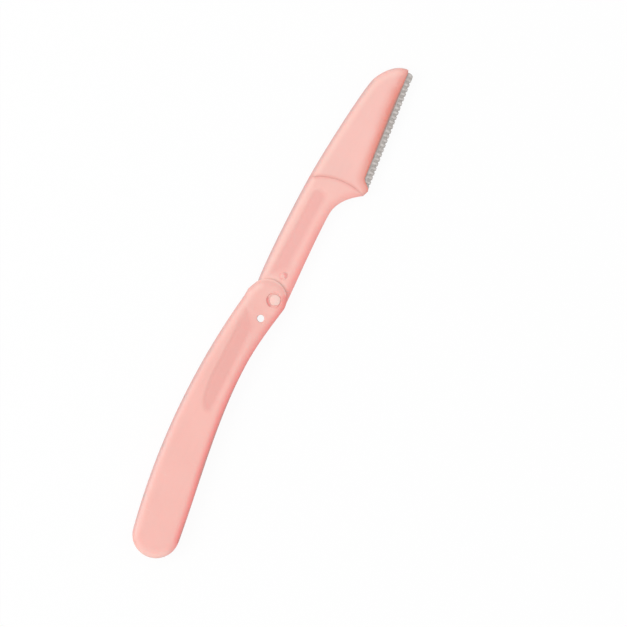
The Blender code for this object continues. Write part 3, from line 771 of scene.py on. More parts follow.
class Nodes:
    """A small hand for putting nodes into one tree."""

    def __init__(self, tree: bpy.types.NodeTree) -> None:
        """Works in that tree."""
        self.tree = tree

    def add(self, kind: str, given: dict | None = None, **settings: object) -> bpy.types.Node:
        """A new node of the kind, with its settings, and with its inputs fed by name or number."""
        node = self.tree.nodes.new(kind)
        for name, value in settings.items():
            setattr(node, name, value)
        self.feed(node, given or {})
        return node

    def feed(self, node: bpy.types.Node, given: dict) -> None:
        """Gives each named input a link if its value is an output, or else that number or colour."""
        for key, value in given.items():
            if isinstance(value, bpy.types.NodeSocket):
                self.tree.links.new(value, node.inputs[key])
            else:
                node.inputs[key].default_value = value

    def math(self, operation: str, *values: Value) -> Socket:
        """A Math node's output."""
        return self.add("ShaderNodeMath", dict(enumerate(values)), operation=operation).outputs[0]

    def mix(self, factor: Value, first: Value, second: Value) -> Socket:
        """A colour Mix node's output."""
        return self.add("ShaderNodeMix", {0: factor, 6: first, 7: second}, data_type="RGBA").outputs[2]

    def mask(self, mask: Mask) -> Socket:
        """The value that the mesh carries for that mask."""
        return self.add("ShaderNodeAttribute", attribute_name=mask.value).outputs["Fac"]

    def noise(
        self, vector: Socket, scale: float, detail: float = 3.0, roughness: float = 0.5,
        drawn: tuple[float, float, float] | None = None,
    ) -> Socket:
        """A noise texture's value on that vector, its parts first multiplied by drawn if that is given."""
        if drawn:
            product = self.add("ShaderNodeVectorMath", {0: vector, 1: drawn}, operation="MULTIPLY")
            vector = product.outputs[0]
        given = {"Vector": vector, "Scale": scale, "Detail": detail, "Roughness": roughness}
        return self.add("ShaderNodeTexNoise", given).outputs["Fac"]

    def ranged(self, value: Value, low: float, high: float, out_low: float = 0, out_high: float = 1) -> Socket:
        """A value carried from one range to another, with its ends held."""
        parts = (value, low, high, out_low, out_high)
        return self.add("ShaderNodeMapRange", dict(enumerate(parts))).outputs[0]

    def bumped(self, height: Socket, strength: float, metres: float) -> Socket:
        """The normal of a surface with that height."""
        given = {"Strength": strength, "Distance": metres, "Height": height}
        return self.add("ShaderNodeBump", given).outputs[0]


def new_group(name: str, results: Callable[..., dict], extra: tuple[str, ...] = ()) -> bpy.types.NodeTree:
    """A shader node group.

    Args:
        name: the group's name.
        results: what it works out, by output name, from its Nodes and its inputs.
        extra: names of its number inputs, beside the vector Place.
    """
    group = bpy.data.node_groups.new(name, "ShaderNodeTree")
    nodes = Nodes(group)
    kinds = {"Place": "NodeSocketVector", **dict.fromkeys(extra, "NodeSocketFloat")}
    for label, kind in kinds.items():
        group.interface.new_socket(name=label, in_out="INPUT", socket_type=kind)
    given = nodes.add("NodeGroupInput").outputs
    made = results(nodes, *(given[label] for label in kinds))
    for label in made:
        group.interface.new_socket(name=label, in_out="OUTPUT", socket_type="NodeSocketFloat")
    nodes.add("NodeGroupOutput", made)
    return group


def moulded_skin(nodes: Nodes, place: Socket) -> dict[str, Socket]:
    """Surface of a moulding: fine peel, faint flow lines along the piece, and cloudy tone.

    Height is fine noise plus a little coarser noise. Cloud is slow noise. Flow is noise drawn out along X.
    """
    fine = nodes.noise(place, 5200, 2.0)
    peel = nodes.noise(place, 900, 2.0)
    return {
        "Height": nodes.math("MULTIPLY_ADD", peel, 0.6, nodes.math("MULTIPLY", fine, 0.4)),
        "Cloud": nodes.noise(place, 60),
        "Flow": nodes.noise(place, 700, drawn=(0.12, 1.0, 1.0)),
    }


def worn_edges(nodes: Nodes, place: Socket, edge: Socket) -> dict[str, Socket]:
    """Handling wear: hairline scratches everywhere, and a polish that follows the tone mask at the edges.

    Scratch is drawn-out noise above a high threshold. Polish is the mask times cloudy noise.
    """
    along = nodes.noise(place, 2600, 2.0, 0.4, (0.05, 1.0, 1.0))
    across = nodes.noise(place, 2100, 2.0, 0.4, (1.0, 0.08, 1.0))
    lines = nodes.math("MAXIMUM", nodes.ranged(along, 0.70, 0.76), nodes.ranged(across, 0.72, 0.78))
    patches = nodes.ranged(nodes.noise(place, 140, 2.0), 0.45, 0.62)
    rubbed = nodes.ranged(nodes.noise(place, 320), 0.35, 0.65)
    scratch = nodes.math("MULTIPLY", lines, patches)
    return {"Scratch": scratch, "Polish": nodes.math("MULTIPLY", edge, rubbed)}


def drawn_metal(nodes: Nodes, place: Socket) -> dict[str, Socket]:
    """Rolled sheet: fine lines along the sheet, and a mottle of soft patches.

    The place is turned to the blade's own direction before it is drawn out along it.
    """
    rotation = {"Rotation": (0, 0, -CuttingEdge.angle), "Vector": place}
    place = nodes.add("ShaderNodeMapping", rotation, vector_type="POINT").outputs[0]
    lines = nodes.noise(place, 6000, 2.0, 0.6, (0.04, 1.0, 1.0))
    return {"Lines": lines, "Mottle": nodes.noise(place, 1300, 3.0, 0.6)}


class Material:
    """A material under way: its nodes, its shader and Object coordinates."""

    def __init__(self, name: str) -> None:
        """Makes the material and finds its shader."""
        self.made = bpy.data.materials.new(name)
        self.made.use_nodes = True
        self.nodes = Nodes(self.made.node_tree)
        self.shader = self.made.node_tree.nodes["Principled BSDF"]
        self.place = self.nodes.add("ShaderNodeTexCoord").outputs["Object"]

    def surface(self, group: bpy.types.NodeTree, **given: Socket) -> tuple[Socket, ...]:
        """The outputs of a group on the coordinates, in order."""
        given = {"Place": self.place, **given}
        return tuple(self.nodes.add("ShaderNodeGroup", given, node_tree=group).outputs)


@dataclass(frozen=True)
class MouldedPlastic:
    """Soft-gloss moulded plastic with painted shade along its shaded edges, painted highlight bands, and
    duller grip recesses.
    """

    name: str
    colour: Colour
    roughness: float = 0.34
    # colour of the painted shade where the deep mask rises
    deep: Colour = Colour.DEEP
    recessed: tuple[float, float, float] = (0.939, 0.854, 0.859)

    def build(self, skin: bpy.types.NodeTree, wear: bpy.types.NodeTree) -> bpy.types.Material:
        """Makes the material from the groups of the moulded skin and the worn edges."""
        material = Material(self.name)
        nodes = material.nodes
        # deep and rim are painted shade, grip the recess floor, and the last mask a painted highlight
        deep, rim, grip, painted_highlight_share = (nodes.mask(mask) for mask in Mask)
        height, cloud, flow = material.surface(skin)
        scratch, polish = material.surface(wear, Edge=nodes.math("MAXIMUM", deep, rim))
        base = self.colour.scaled(0.985)
        for share, colour in (
            (nodes.ranged(cloud, 0.35, 0.65), self.colour.scaled(1.02)),
            (nodes.ranged(flow, 0.5, 0.72, 0, 0.5), self.colour.scaled(0.975)),
            (grip, self.colour.scaled(*self.recessed)),
            (painted_highlight_share, Colour.PALE.rgba),
            (rim, Colour.RIM.rgba),
            (nodes.ranged(deep, 0, 1), self.deep.rgba),
            (nodes.ranged(deep, 1, 2), Colour.SHADE.rgba),
            (nodes.math("MULTIPLY", scratch, 0.18), Colour.SCUFF.rgba),
        ):
            base = nodes.mix(share, base, colour)
        rough = self.roughness - 0.05
        for value, share in ((cloud, 0.10), (grip, 0.10), (polish, -0.08), (scratch, 0.12)):
            rough = nodes.math("MULTIPLY_ADD", value, share, rough)
        worn = nodes.math("MULTIPLY_ADD", scratch, -0.6, height)
        relief = nodes.math("MULTIPLY_ADD", nodes.math("MULTIPLY", grip, height), 1.2, worn)
        nodes.feed(material.shader, {
            "Base Color": base,
            "Roughness": rough,
            "Normal": nodes.bumped(relief, 0.35, 0.00003),
            "Subsurface Weight": 0.25,
            "Subsurface Radius": (1.0, 0.35, 0.3),
            "Subsurface Scale": 0.0012,
            "Coat Weight": 0.08,
            "Coat Roughness": 0.2,
        })
        return material.made


@dataclass(frozen=True)
class SheetSteel:
    """Stainless sheet: lines along it, a mottle of darker metal, and brighter rib crests, partly rubbed wear
    and partly a painted highlight.
    """

    name: str
    colour: Colour
    dark: Colour
    bright: Colour
    roughness: float
    mottle: float

    def build(self, metal: bpy.types.NodeTree) -> bpy.types.Material:
        """Makes the material from the drawn metal's group and the mask bright."""
        material = Material(self.name)
        nodes = material.nodes
        lines, mottle = material.surface(metal)
        patchy = nodes.ranged(mottle, 0.38, 0.62, 0.0, self.mottle)
        base = nodes.mix(patchy, self.colour.rgba, self.dark.rgba)
        # the rib crests' brighter steel: partly rubbed wear, partly a painted highlight
        rubbed = nodes.math("MULTIPLY", nodes.mask(Mask.BRIGHT), nodes.ranged(mottle, 0.7, 0.4, 0.3, 1.0))
        shine = nodes.math("MAXIMUM", rubbed, nodes.ranged(lines, 0.5, 0.75, 0.0, 0.35))
        nodes.feed(material.shader, {
            "Base Color": nodes.mix(shine, base, self.bright.rgba),
            "Roughness": nodes.math("MULTIPLY_ADD", lines, 0.2, self.roughness - 0.1),
            "Metallic": 1.0,
            "Normal": nodes.bumped(nodes.math("MULTIPLY_ADD", mottle, 0.6, lines), 0.4, 0.00002),
        })
        return material.made


def all_finishes() -> dict[str, bpy.types.Material]:
    """Every material of the razor, by the record's slot."""
    skin = new_group("moulded_skin", moulded_skin)
    wear = new_group("worn_edges", worn_edges, ("Edge",))
    metal = new_group("drawn_metal", drawn_metal)
    dark, bright = Colour.GUARD_DARK, Colour.GUARD_BRIGHT
    plastics = (
        MouldedPlastic("handle_plastic", Colour.HANDLE),
        MouldedPlastic("arm_plastic", Colour.ARM, recessed=(0.947, 0.846, 0.858)),
        MouldedPlastic("head_plastic", Colour.HEAD, 0.30, Colour.LIP),
        MouldedPlastic("pin_plastic", Colour.PIN, 0.38),
        MouldedPlastic("washer_plastic", Colour.WASHER, 0.5),
    )
    steels = (
        SheetSteel("blade_steel", Colour.BLADE, dark, Colour.GUARD, 0.26, 0.25),
        SheetSteel("guard_steel", Colour.GUARD, dark, bright, 0.42, 0.7),
    )
    made = {plastic.name: plastic.build(skin, wear) for plastic in plastics}
    return made | {steel.name: steel.build(metal) for steel in steels}


@dataclass
class Bench:
    """Where finished pieces are dressed and put on the frame."""

    finishes: dict[str, bpy.types.Material] = field(default_factory=all_finishes)

    def make(self, solid: Solid, name: str, body: str, slot: str, node: str | None = None) -> None:
        """Makes a solid a piece in its slot's finish, and mounts it."""
        self.mount(solid.piece(name, self.finishes[slot]), body, node)

    def mount(self, piece: bpy.types.Object, body: str, node: str | None = None) -> None:
        """Rides a new piece on its CAD body, and hides the CAD node that it stands for.

        Args:
            piece: the new piece.
            body: the CAD body that it moves with.
            node: the CAD node that it replaces, if any.
        """
        if node:
            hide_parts(node)
        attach(piece, body)
        log.info("%s: %d faces on %s", piece.name, len(piece.data.polygons), body)

    def dress(self, node: str, slot: str) -> None:
        """Gives a CAD node its material."""
        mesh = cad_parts[node].data
        mesh.materials.clear()
        mesh.materials.append(self.finishes[slot])
        log.info("%s: CAD node dressed in %s", node, slot)


# Sub-assemblies


@dataclass(frozen=True)
class Arm:
    """The arm that swings out of the handle, with its grip recesses, bumps and the tongue for the head."""

    hub_radius: float = 3.75
    bore_radius: float = 1.36
    shoulder: tuple[float, float] = (1.95, 6.95)
    seam_top: tuple[float, float] = (37.55, 8.1)
    seam_bottom: tuple[float, float] = (40.2, -8.9)
    seam_bulge: float = 2.2
    neck: tuple[float, float] = (30.2, -2.43)
    bump_at: tuple[float, float] = (7.9, 0.8)
    bump_radius: float = 1.15
    bump_height: float = 0.25
    tongue_length: float = 8.0
    tongue_low: float = -1.0
    tongue_high: float = 5.5
    tongue_thickness: float = 1.2
    tongue_corner: float = 1.0
    tongue_root: float = 1.0
    nib_share: float = 0.7
    nib_radius: float = 0.7
    nib_height: float = 0.11

    def seam(self, shift: float = 0.0) -> np.ndarray:
        """The curved end of the arm, from its lower corner to its upper one: one arc through both."""
        low, high = np.array(self.seam_bottom), np.array(self.seam_top)
        run = high - low
        half = np.linalg.norm(run) / 2
        along = run / (2 * half)
        radius = (half**2 + self.seam_bulge**2) / (2 * self.seam_bulge)
        centre = (low + high) / 2 + np.array((-along[1], along[0])) * (radius - self.seam_bulge)
        return on_circle(centre, radius, bearing(centre, low), bearing(centre, high)) + (shift, 0)

    def neck_edge(self) -> np.ndarray:
        """The arm's lower edge from the hub to where the flare starts."""
        return pulled((0, -self.hub_radius), (10.0, 0.5), self.neck, (10.0, 0))

    def recess(self) -> np.ndarray:
        """Outline of the grip recess: a slanted start near the pivot and a round end near the head."""
        start, end, low, high, slant = 6.6, 35.8, 0.65, 4.8, 4.2
        half = (high - low) / 2
        near = pulled((start, high), (-0.2, -1.0), (start + slant, low), (1.0, -0.2))
        far = on_circle((end - half, low + half), half, -math.pi / 2, math.pi / 2)
        return closed(near, straight(near[-1], far[0])[1:-1], far, straight(far[-1], near[0])[1:-1])

    def body(self, handle_end: np.ndarray) -> Solid:
        """The arm's plate, the same on both faces, with painted shade along its lower edge, seam and bump, a
        painted highlight band inside its back, and painted light where the handle's round end shades it.
        """
        root = math.acos(self.shoulder[0] / self.hub_radius)
        hub = on_circle(PIVOT, self.hub_radius, root, 1.5 * math.pi)
        flare = pulled(self.neck, (4.9, 0), self.seam_bottom, (1.8, -2.65))
        seam = self.seam()
        spine = pulled(self.seam_top, (-8.5, 0.2), self.shoulder, (-8.0, -1.05))
        side = straight(self.shoulder, hub[0])
        lower = np.vstack((self.neck_edge(), flare[1:]))
        outline = closed(hub, lower[1:], seam[1:], spine[1:], side[1:-1])
        edges = [
            Edge(lower, *EDGES.arm),
            Edge(seam, *EDGES.seam),
            Edge(spine, *EDGES.arm),
            Edge(np.vstack((side, hub)), *EDGES.fine),
        ]
        # arcs of painted shade on the bump's flank and at its foot
        flank = on_circle(self.bump_at, 0.6, math.radians(-105), math.radians(15), 0.1)
        foot = on_circle(self.bump_at, 1.3, math.radians(95), math.radians(175), 0.1)
        tones = [
            # painted shade along the lower edge, which faces away from the light, and along the seam
            Tone(lower, 3.1, graded(lower, {2: 0.8, 24: 0.7, 29: 0.45, 36: 0.3, 40: 0.45})),
            Tone(seam, *SEAM_PAINTED_SHADE),
            # painted shade on the bump's flank and at its foot
            Tone(flank, 0.6, 0.8),
            Tone(flank, 0.55, 0.8, Mask.RIM),
            Tone(foot, 0.3, 0.35),
            # painted light where the handle's round end throws its shadow on the arm
            Tone(handle_end, 1.9, 1.1, Mask.BRIGHT),
            # painted grey shade at the back's silhouette, and a painted highlight band inside it
            Tone(spine, 1.5, 0.85, Mask.RIM),
            Tone(shifted(spine, HIGHLIGHT_BAND_INSET), 1.3, 0.8, Mask.BRIGHT),
        ]
        bump = Bump(self.bump_at, self.bump_radius, self.bump_height, 0.72)
        reliefs = (GripRecess(self.recess(), 8.0), bump)
        faces = both_faces(LEVELS.arm_back, LEVELS.arm_front, edges, reliefs)
        return Plate(outline, *faces, [Hole(PIVOT, self.bore_radius)], tones).solid()

    def tongue_outline(self, grown: float) -> np.ndarray:
        """The tongue from inside the arm to its rounded end, grown by a gap for its pocket."""
        root = self.seam_bottom[0] - self.tongue_root
        end = self.seam_bottom[0] + self.tongue_length + grown
        low, high = self.tongue_low - grown, self.tongue_high + grown
        size = self.tongue_corner + grown
        first = on_circle((end - size, low + size), size, -math.pi / 2, 0, 0.2)
        second = on_circle((end - size, high - size), size, 0, math.pi / 2, 0.2)
        return closed(
            straight((root, low), first[0])[:-1],
            first,
            straight(first[-1], second[0])[1:-1],
            second,
            straight(second[-1], (root, high))[1:],
            straight((root, high), (root, low))[1:-1],
        )

    def tongue(self) -> Solid:
        """The tongue, with its snap nib on the front."""
        half = self.tongue_thickness / 2
        outline = self.tongue_outline(0.0)
        edge = Edge(looped(outline), 0.15, 0.15)
        nib_x = self.seam_bottom[0] + self.tongue_length * self.nib_share
        nib_at = (nib_x, (self.tongue_low + self.tongue_high) / 2)
        nib = Bump(nib_at, self.nib_radius, self.nib_height, hollow=0.0)
        low = Face(LEVELS.middle - half, -1, [edge])
        high = Face(LEVELS.middle + half, 1, [edge], [nib])
        return Plate(outline, low, high, insets=PLAIN_INSETS).solid()

    def build(self, bench: Bench, handle_end: np.ndarray) -> None:
        """Makes the arm and its tongue."""
        bench.make(self.body(handle_end), "arm_body", "arm", "arm_plastic", "arm")
        bench.make(self.tongue(), "tongue", "arm", "arm_plastic")


@dataclass(frozen=True)
class Handle:
    """The slotted handle: two scales, and the spine strip and its posts between them."""

    arm: Arm = Arm()
    convex_radius: float = 221.5
    crown: tuple[float, float] = (-32.0, 10.5)
    pivot_end_x: float = -0.7
    pivot_end_radius: float = 6.05
    far_end_x: float = -78.7
    far_end_radius: float = 7.1
    waist: tuple[float, float] = (-21.8, -1.65)
    far_taper: float = math.radians(8)
    pivot_taper: float = math.radians(9.5)
    corner_x: float = -0.45
    corner_rise: float = 0.25
    corner_lead: float = 2.7
    corner_fall: float = 3.05
    counterbore_radius: float = 2.2
    front_counterbore: tuple[float, float] = (0.34, 0.22)
    back_counterbore: tuple[float, float] = (0.65, 0.06)
    hole_at: tuple[float, float] = (-6.7, 1.0)
    hole_radius: float = 1.1
    dimple_radius: float = 1.15
    dimple_depth: float = 0.15
    spine_width: float = 1.4
    spine_setback: float = 0.1
    spine_end_x: float = -78.0
    post_x: tuple[float, ...] = (-70.0, -54.0, -38.0, -22.0)
    block_post: tuple[float, float] = (-3.5, 6.4)
    post_radius: float = 0.5
    post_height: float = 0.65
    seat_gap: float = 0.05
    stop_gap: float = 0.3
    block_start: float = -2.5
    block_end: float = -8.0
    block_heel: float = math.radians(105)
    block_root: float = 3.0

    def convex_centre(self) -> np.ndarray:
        """Centre of the handle's long back."""
        return np.array((self.crown[0], self.crown[1] - self.convex_radius))

    def touching(self, x: float, radius: float) -> np.ndarray:
        """Centre, at x, of a circle that touches the long back from inside."""
        centre = self.convex_centre()
        reach = self.convex_radius - radius
        return np.array((x, centre[1] + math.sqrt(reach**2 - (x - centre[0]) ** 2)))

    def passing(self, x: float, radius: float) -> float:
        """Angle at which a circle of that radius round the long back's centre passes x."""
        return math.acos((x - self.crown[0]) / radius)

    def stretches(self) -> dict[str, np.ndarray]:
        """The outline in order: back, far round, hollow side, pivot round, and the corner above it."""
        centre = self.convex_centre()
        pivot_end = self.touching(self.pivot_end_x, self.pivot_end_radius)
        far_end = self.touching(self.far_end_x, self.far_end_radius)
        start = self.passing(self.corner_x - self.corner_lead, self.convex_radius)
        end = bearing(centre, far_end)
        far_round = on_circle(far_end, self.far_end_radius, end, 1.5 * math.pi + self.far_taper)
        foot = math.acos((self.corner_x + self.corner_fall - self.pivot_end_x) / self.pivot_end_radius)
        pivot_round = on_circle(pivot_end, self.pivot_end_radius, -0.5 * math.pi - self.pivot_taper, foot)
        waist = np.array(self.waist)
        far_run = (waist[0] - far_round[-1, 0]) / 3
        pivot_run = (pivot_round[0, 0] - waist[0]) / 3
        hollow = np.vstack((
            pulled(far_round[-1], heading(self.far_taper, far_run), waist, heading(0, far_run)),
            pulled(waist, heading(0, pivot_run), pivot_round[0], heading(-self.pivot_taper, pivot_run))[1:],
        ))
        back = on_circle(centre, self.convex_radius, start, end)
        rise = self.passing(self.corner_x, self.convex_radius)
        top = centre + heading(rise, self.convex_radius + self.corner_rise)
        corner = np.vstack((straight(pivot_round[-1], top), straight(top, back[0])[1:]))
        return {"back": back, "far": far_round, "hollow": hollow, "pivot": pivot_round, "corner": corner}

    def recess(self) -> np.ndarray:
        """Outline of the grip recess: a slanted start and a long tip that turns down to the hollow side."""
        low, high, far_low, far_high = 1.5, 6.2, 0.9, 6.0
        start, end, slant, turn = -5.8, -38.6, 4.3, 10.9
        tip_lean, tip = math.radians(140), 1.4
        near = pulled((start - slant, low), (1.4, 0), (start, high), (0.2, 1.2))
        tip_round = on_circle((end + tip, far_low + tip), tip, tip_lean, 1.5 * math.pi, 0.25)
        far = pulled((end + turn, far_high), (-4.2, 0), tip_round[0], heading(tip_lean + math.pi / 2, 2.4))
        top = straight((start, high), (end + turn, far_high))
        bottom = straight((end + tip, far_low), (start - slant, low))
        return closed(near, top[1:], far[1:], tip_round[1:], bottom[1:-1])

    def posts(self) -> list[np.ndarray]:
        """Centres of the spine's posts."""
        middle = self.convex_radius - (self.spine_width + self.spine_setback) / 2
        along = [self.convex_centre() + heading(self.passing(x, middle), middle) for x in self.post_x]
        return along + [np.array(self.block_post)]

    def tones(self) -> list[Tone]:
        """Painted shade on the hollow side, at the pivot and as a grey line at the silhouettes; painted
        highlights inside the back and at both round ends.
        """
        runs = self.stretches()
        pivot, far = runs["pivot"], runs["far"]
        lower = np.vstack((far[-len(far) // 5 :], runs["hollow"], pivot[: len(pivot) // 4]))
        strength = graded(lower, {
            -83: 0, -80: 0.35, -77: 1.05, -70: 0.95, -66: 0.85, -56: 1.1,
            -32: 1, -24: 0.8, -12: 0.6, -4: 0.75, 2: 1,
        })
        upper = np.vstack((runs["corner"], runs["back"][1:]))
        upper_strength = graded(upper, {-76: 0.55, -60: 0.75, -24: 0.7, -16: 0.5, -8: 0.35, 0: 0.28})
        band = shifted(upper, HIGHLIGHT_BAND_INSET)
        shade = on_circle(PIVOT, self.counterbore_radius - 0.25, math.radians(100), math.radians(168))
        return [
            # painted shade along the hollow side, which faces away from the light
            Tone(lower, 2.4, 1.25 * strength),
            Tone(lower, 0.7, 1.6 * strength * graded(lower, {-3: 1, 2: 0.3})),
            Tone(shade, 0.55, 1.0),
            Tone(shade, 0.6, 1.0, Mask.RIM),
            # painted light on the pivot end's shaded wall, painted shade under its lower quarter and the
            # counterbore's lower lip, and a painted highlight ring round the pivot
            Tone(pivot[len(pivot) // 4 :], 0.9, 1.0, Mask.BRIGHT),
            Tone(shifted(pivot[len(pivot) // 4 : len(pivot) // 2], 0.4), 0.8, 0.35),
            Tone(on_circle(PIVOT, 2.4, math.radians(-130), math.radians(-40)), 0.7, 0.5),
            Tone(looped(ring(PIVOT, 3.6, 72)), 1.6, 0.15, Mask.BRIGHT),
            # painted grey shade at the back's and far end's silhouettes, and painted highlights inside them
            Tone(upper, 1.7, upper_strength, Mask.RIM),
            Tone(far, 0.9, 0.15, Mask.RIM),
            Tone(far[len(far) // 3 : -len(far) // 4], 3.3, 0.7, Mask.BRIGHT),
            Tone(band, 1.8, graded(band, {-24: 0.1, -12: 0.4, 0: 0.7}), Mask.BRIGHT),
        ]

    def scale(self, counterbore: tuple[float, float]) -> Solid:
        """A front scale: recess, counterbore and small hole outside, sockets and dimple inside.

        Args:
            counterbore: depth of the counterbore and size of its lip.

        Returns:
            The scale, with a flatter edge where its round end lies over the arm.
        """
        outline = closed(*self.stretches().values())
        loop = looped(outline)
        over_arm = eased((loop[:, 0] + 1.0) / 4.0)
        width, height = EDGES.scale
        edge = Edge(loop, width - 0.9 * over_arm, height - 0.4 * over_arm, 2 - 0.8 * over_arm)
        outer = Face(LEVELS.front_face, 1, [edge], [
            GripRecess(self.recess(), -8.0, 0.24),
            Pit(PIVOT, self.counterbore_radius, *counterbore),
            HoleRim(self.hole_at, self.hole_radius, 0.2),
        ])
        dimple_at = tuple(folded(np.array([self.arm.bump_at]))[0])
        inner = Face(LEVELS.slot_roof, -1, [Edge(loop, *EDGES.parting)], [
            Pit(dimple_at, self.dimple_radius, self.dimple_depth, 0.05),
            HoleRim(self.hole_at, self.hole_radius, 0.06),
            *[Pit(tuple(at), self.post_radius + 0.05, self.post_height + 0.1, 0.03) for at in self.posts()],
        ])
        holes = [Hole(PIVOT, self.arm.bore_radius), Hole(self.hole_at, self.hole_radius)]
        return Plate(outline, inner, outer, holes, self.tones()).solid()

    def spine_outline(self) -> np.ndarray:
        """Outline of the strip between the scales, whose stop block follows the folded arm's lower edge."""
        centre = self.convex_centre()
        pivot_end = self.touching(self.pivot_end_x, self.pivot_end_radius)
        outer = self.convex_radius - self.spine_setback
        inner = self.convex_radius - self.spine_width
        end_round = self.pivot_end_radius - self.spine_setback
        stop_x = self.arm.shoulder[0] - self.stop_gap
        pivot_start = math.acos((stop_x - self.pivot_end_x) / end_round)
        back_start = bearing(centre, pivot_end)
        clear = self.arm.hub_radius + self.stop_gap
        closing = folded(self.arm.neck_edge()) + (0, self.stop_gap)
        closing = closing[(closing[:, 0] < self.block_start) & (closing[:, 0] > self.block_end)]
        root_start = self.passing(closing[-1, 0] - self.block_root, inner)
        root = centre + heading(root_start, inner)
        heel = on_circle(PIVOT, clear, self.block_heel, math.acos(stop_x / clear))
        round_part = on_circle(pivot_end, end_round, pivot_start, back_start)
        return closed(
            round_part,
            on_circle(centre, outer, back_start, self.passing(self.spine_end_x, outer))[1:],
            on_circle(centre, inner, self.passing(self.spine_end_x, inner), root_start),
            pulled(root, (self.block_root / 2, 0), closing[-1], (0, -self.block_root / 2))[1:-1],
            closing[::-1],
            heel,
            straight(heel[-1], round_part[0])[1:-1],
        )

    def spine(self) -> Solid:
        """The strip with its stop block and posts."""
        low, high = LEVELS.slot_floor + self.seat_gap, LEVELS.slot_roof - self.seat_gap
        outline = self.spine_outline()
        loop = looped(outline)
        faces = both_faces(low, high, [Edge(loop, *EDGES.parting)])
        # painted shade along the strip's edges, next to the scales
        strip = Plate(outline, *faces, tones=[Tone(loop, 0.3, 0.4)], insets=PLAIN_INSETS).solid()
        top, bottom = high + self.post_height, low - self.post_height
        radius, bevel = self.post_radius, 0.06
        profile = (
            (0, bottom), (radius - bevel, bottom), (radius, bottom + bevel),
            (radius, top - bevel), (radius - bevel, top), (0, top),
        )
        return strip.joined(*[turned(profile, at, 24) for at in self.posts()])

    def build(self, bench: Bench) -> None:
        """Makes the scales and the spine."""
        front = self.scale(self.front_counterbore)
        back = self.scale(self.back_counterbore).mirrored(LEVELS.middle)
        for name, solid in (("front_scale", front), ("back_scale", back)):
            bench.make(solid, name, "handle", "handle_plastic", f"handle_{name}")
        bench.make(self.spine(), "spine_strip", "handle", "handle_plastic", "handle_spine")


@dataclass(frozen=True)
class Pivot:
    """The pivot pin: a domed, lightly scalloped head in front and a flush flange behind."""

    shank_radius: float = 1.3
    head_radius: float = 1.65
    head_height: float = 0.24
    shoulder: float = 0.16
    dome: float = 0.06
    flange_radius: float = 2.15
    flange_height: float = 0.6
    flange_bevel: float = 0.06
    seat: float = 5.68
    lobes: int = 5
    lobe_depth: float = 0.018
    leaning: float = 0.2
    lean_angle: float = math.radians(-57)

    def scallop(self, angles: np.ndarray, profile: np.ndarray) -> np.ndarray:
        """On the head, one less a small cosine of the angle, and a little more to one side."""
        on_head = (profile[:, 1:] > self.seat - 0.01) & (profile[:, :1] > self.shank_radius)
        lobes = self.lobe_depth * (1 + np.cos(self.lobes * angles))
        return 1 + on_head * (self.leaning * np.cos(angles - self.lean_angle) - lobes)

    def solid(self) -> Solid:
        """The pin from its flange, by a plain shank, to the rounded shoulder and low crown of its head."""
        top = self.seat + self.head_height
        middle = (self.head_radius - self.shoulder, top - self.dome - self.shoulder)
        rim = middle + self.shoulder * unit(np.linspace(0, math.pi / 2, 7))
        crown_radii = np.array((1.0, 0.7, 0.4, 0.15))
        crown = np.column_stack((crown_radii, top - self.dome * (crown_radii / self.shank_radius) ** 2))
        foot = (
            (0, 0), (self.flange_radius - self.flange_bevel, 0), (self.flange_radius, self.flange_bevel),
            (self.flange_radius, self.flange_height), (self.shank_radius, self.flange_height),
            (self.shank_radius, self.seat), (self.head_radius, self.seat),
        )
        return turned(np.vstack((foot, rim, crown, ((0, top),))), count=96, scallop=self.scallop)

    def build(self, bench: Bench) -> None:
        """Makes the pin and dresses the washers."""
        bench.make(self.solid(), "pin", "handle", "pin_plastic", "pivot_pin")
        for node in ("pivot_washer_front", "pivot_washer_back"):
            bench.dress(node, "washer_plastic")


@dataclass(frozen=True)
class CuttingEdge:
    """The frame that the blade, the guard and the lip of the head are laid out in."""

    origin: tuple[float, float] = (42.0, -9.45)
    angle = math.radians(6.38)

    def at(self, along: Numbers, across: Numbers) -> np.ndarray:
        """Points along the guard's fold from the heel, and across it into the head."""
        along, across = np.broadcast_arrays(np.asarray(along, float), np.asarray(across, float))
        cos, sin = math.cos(self.angle), math.sin(self.angle)
        x = self.origin[0] + along * cos - across * sin
        y = self.origin[1] + along * sin + across * cos
        return np.stack((x, y), axis=-1)


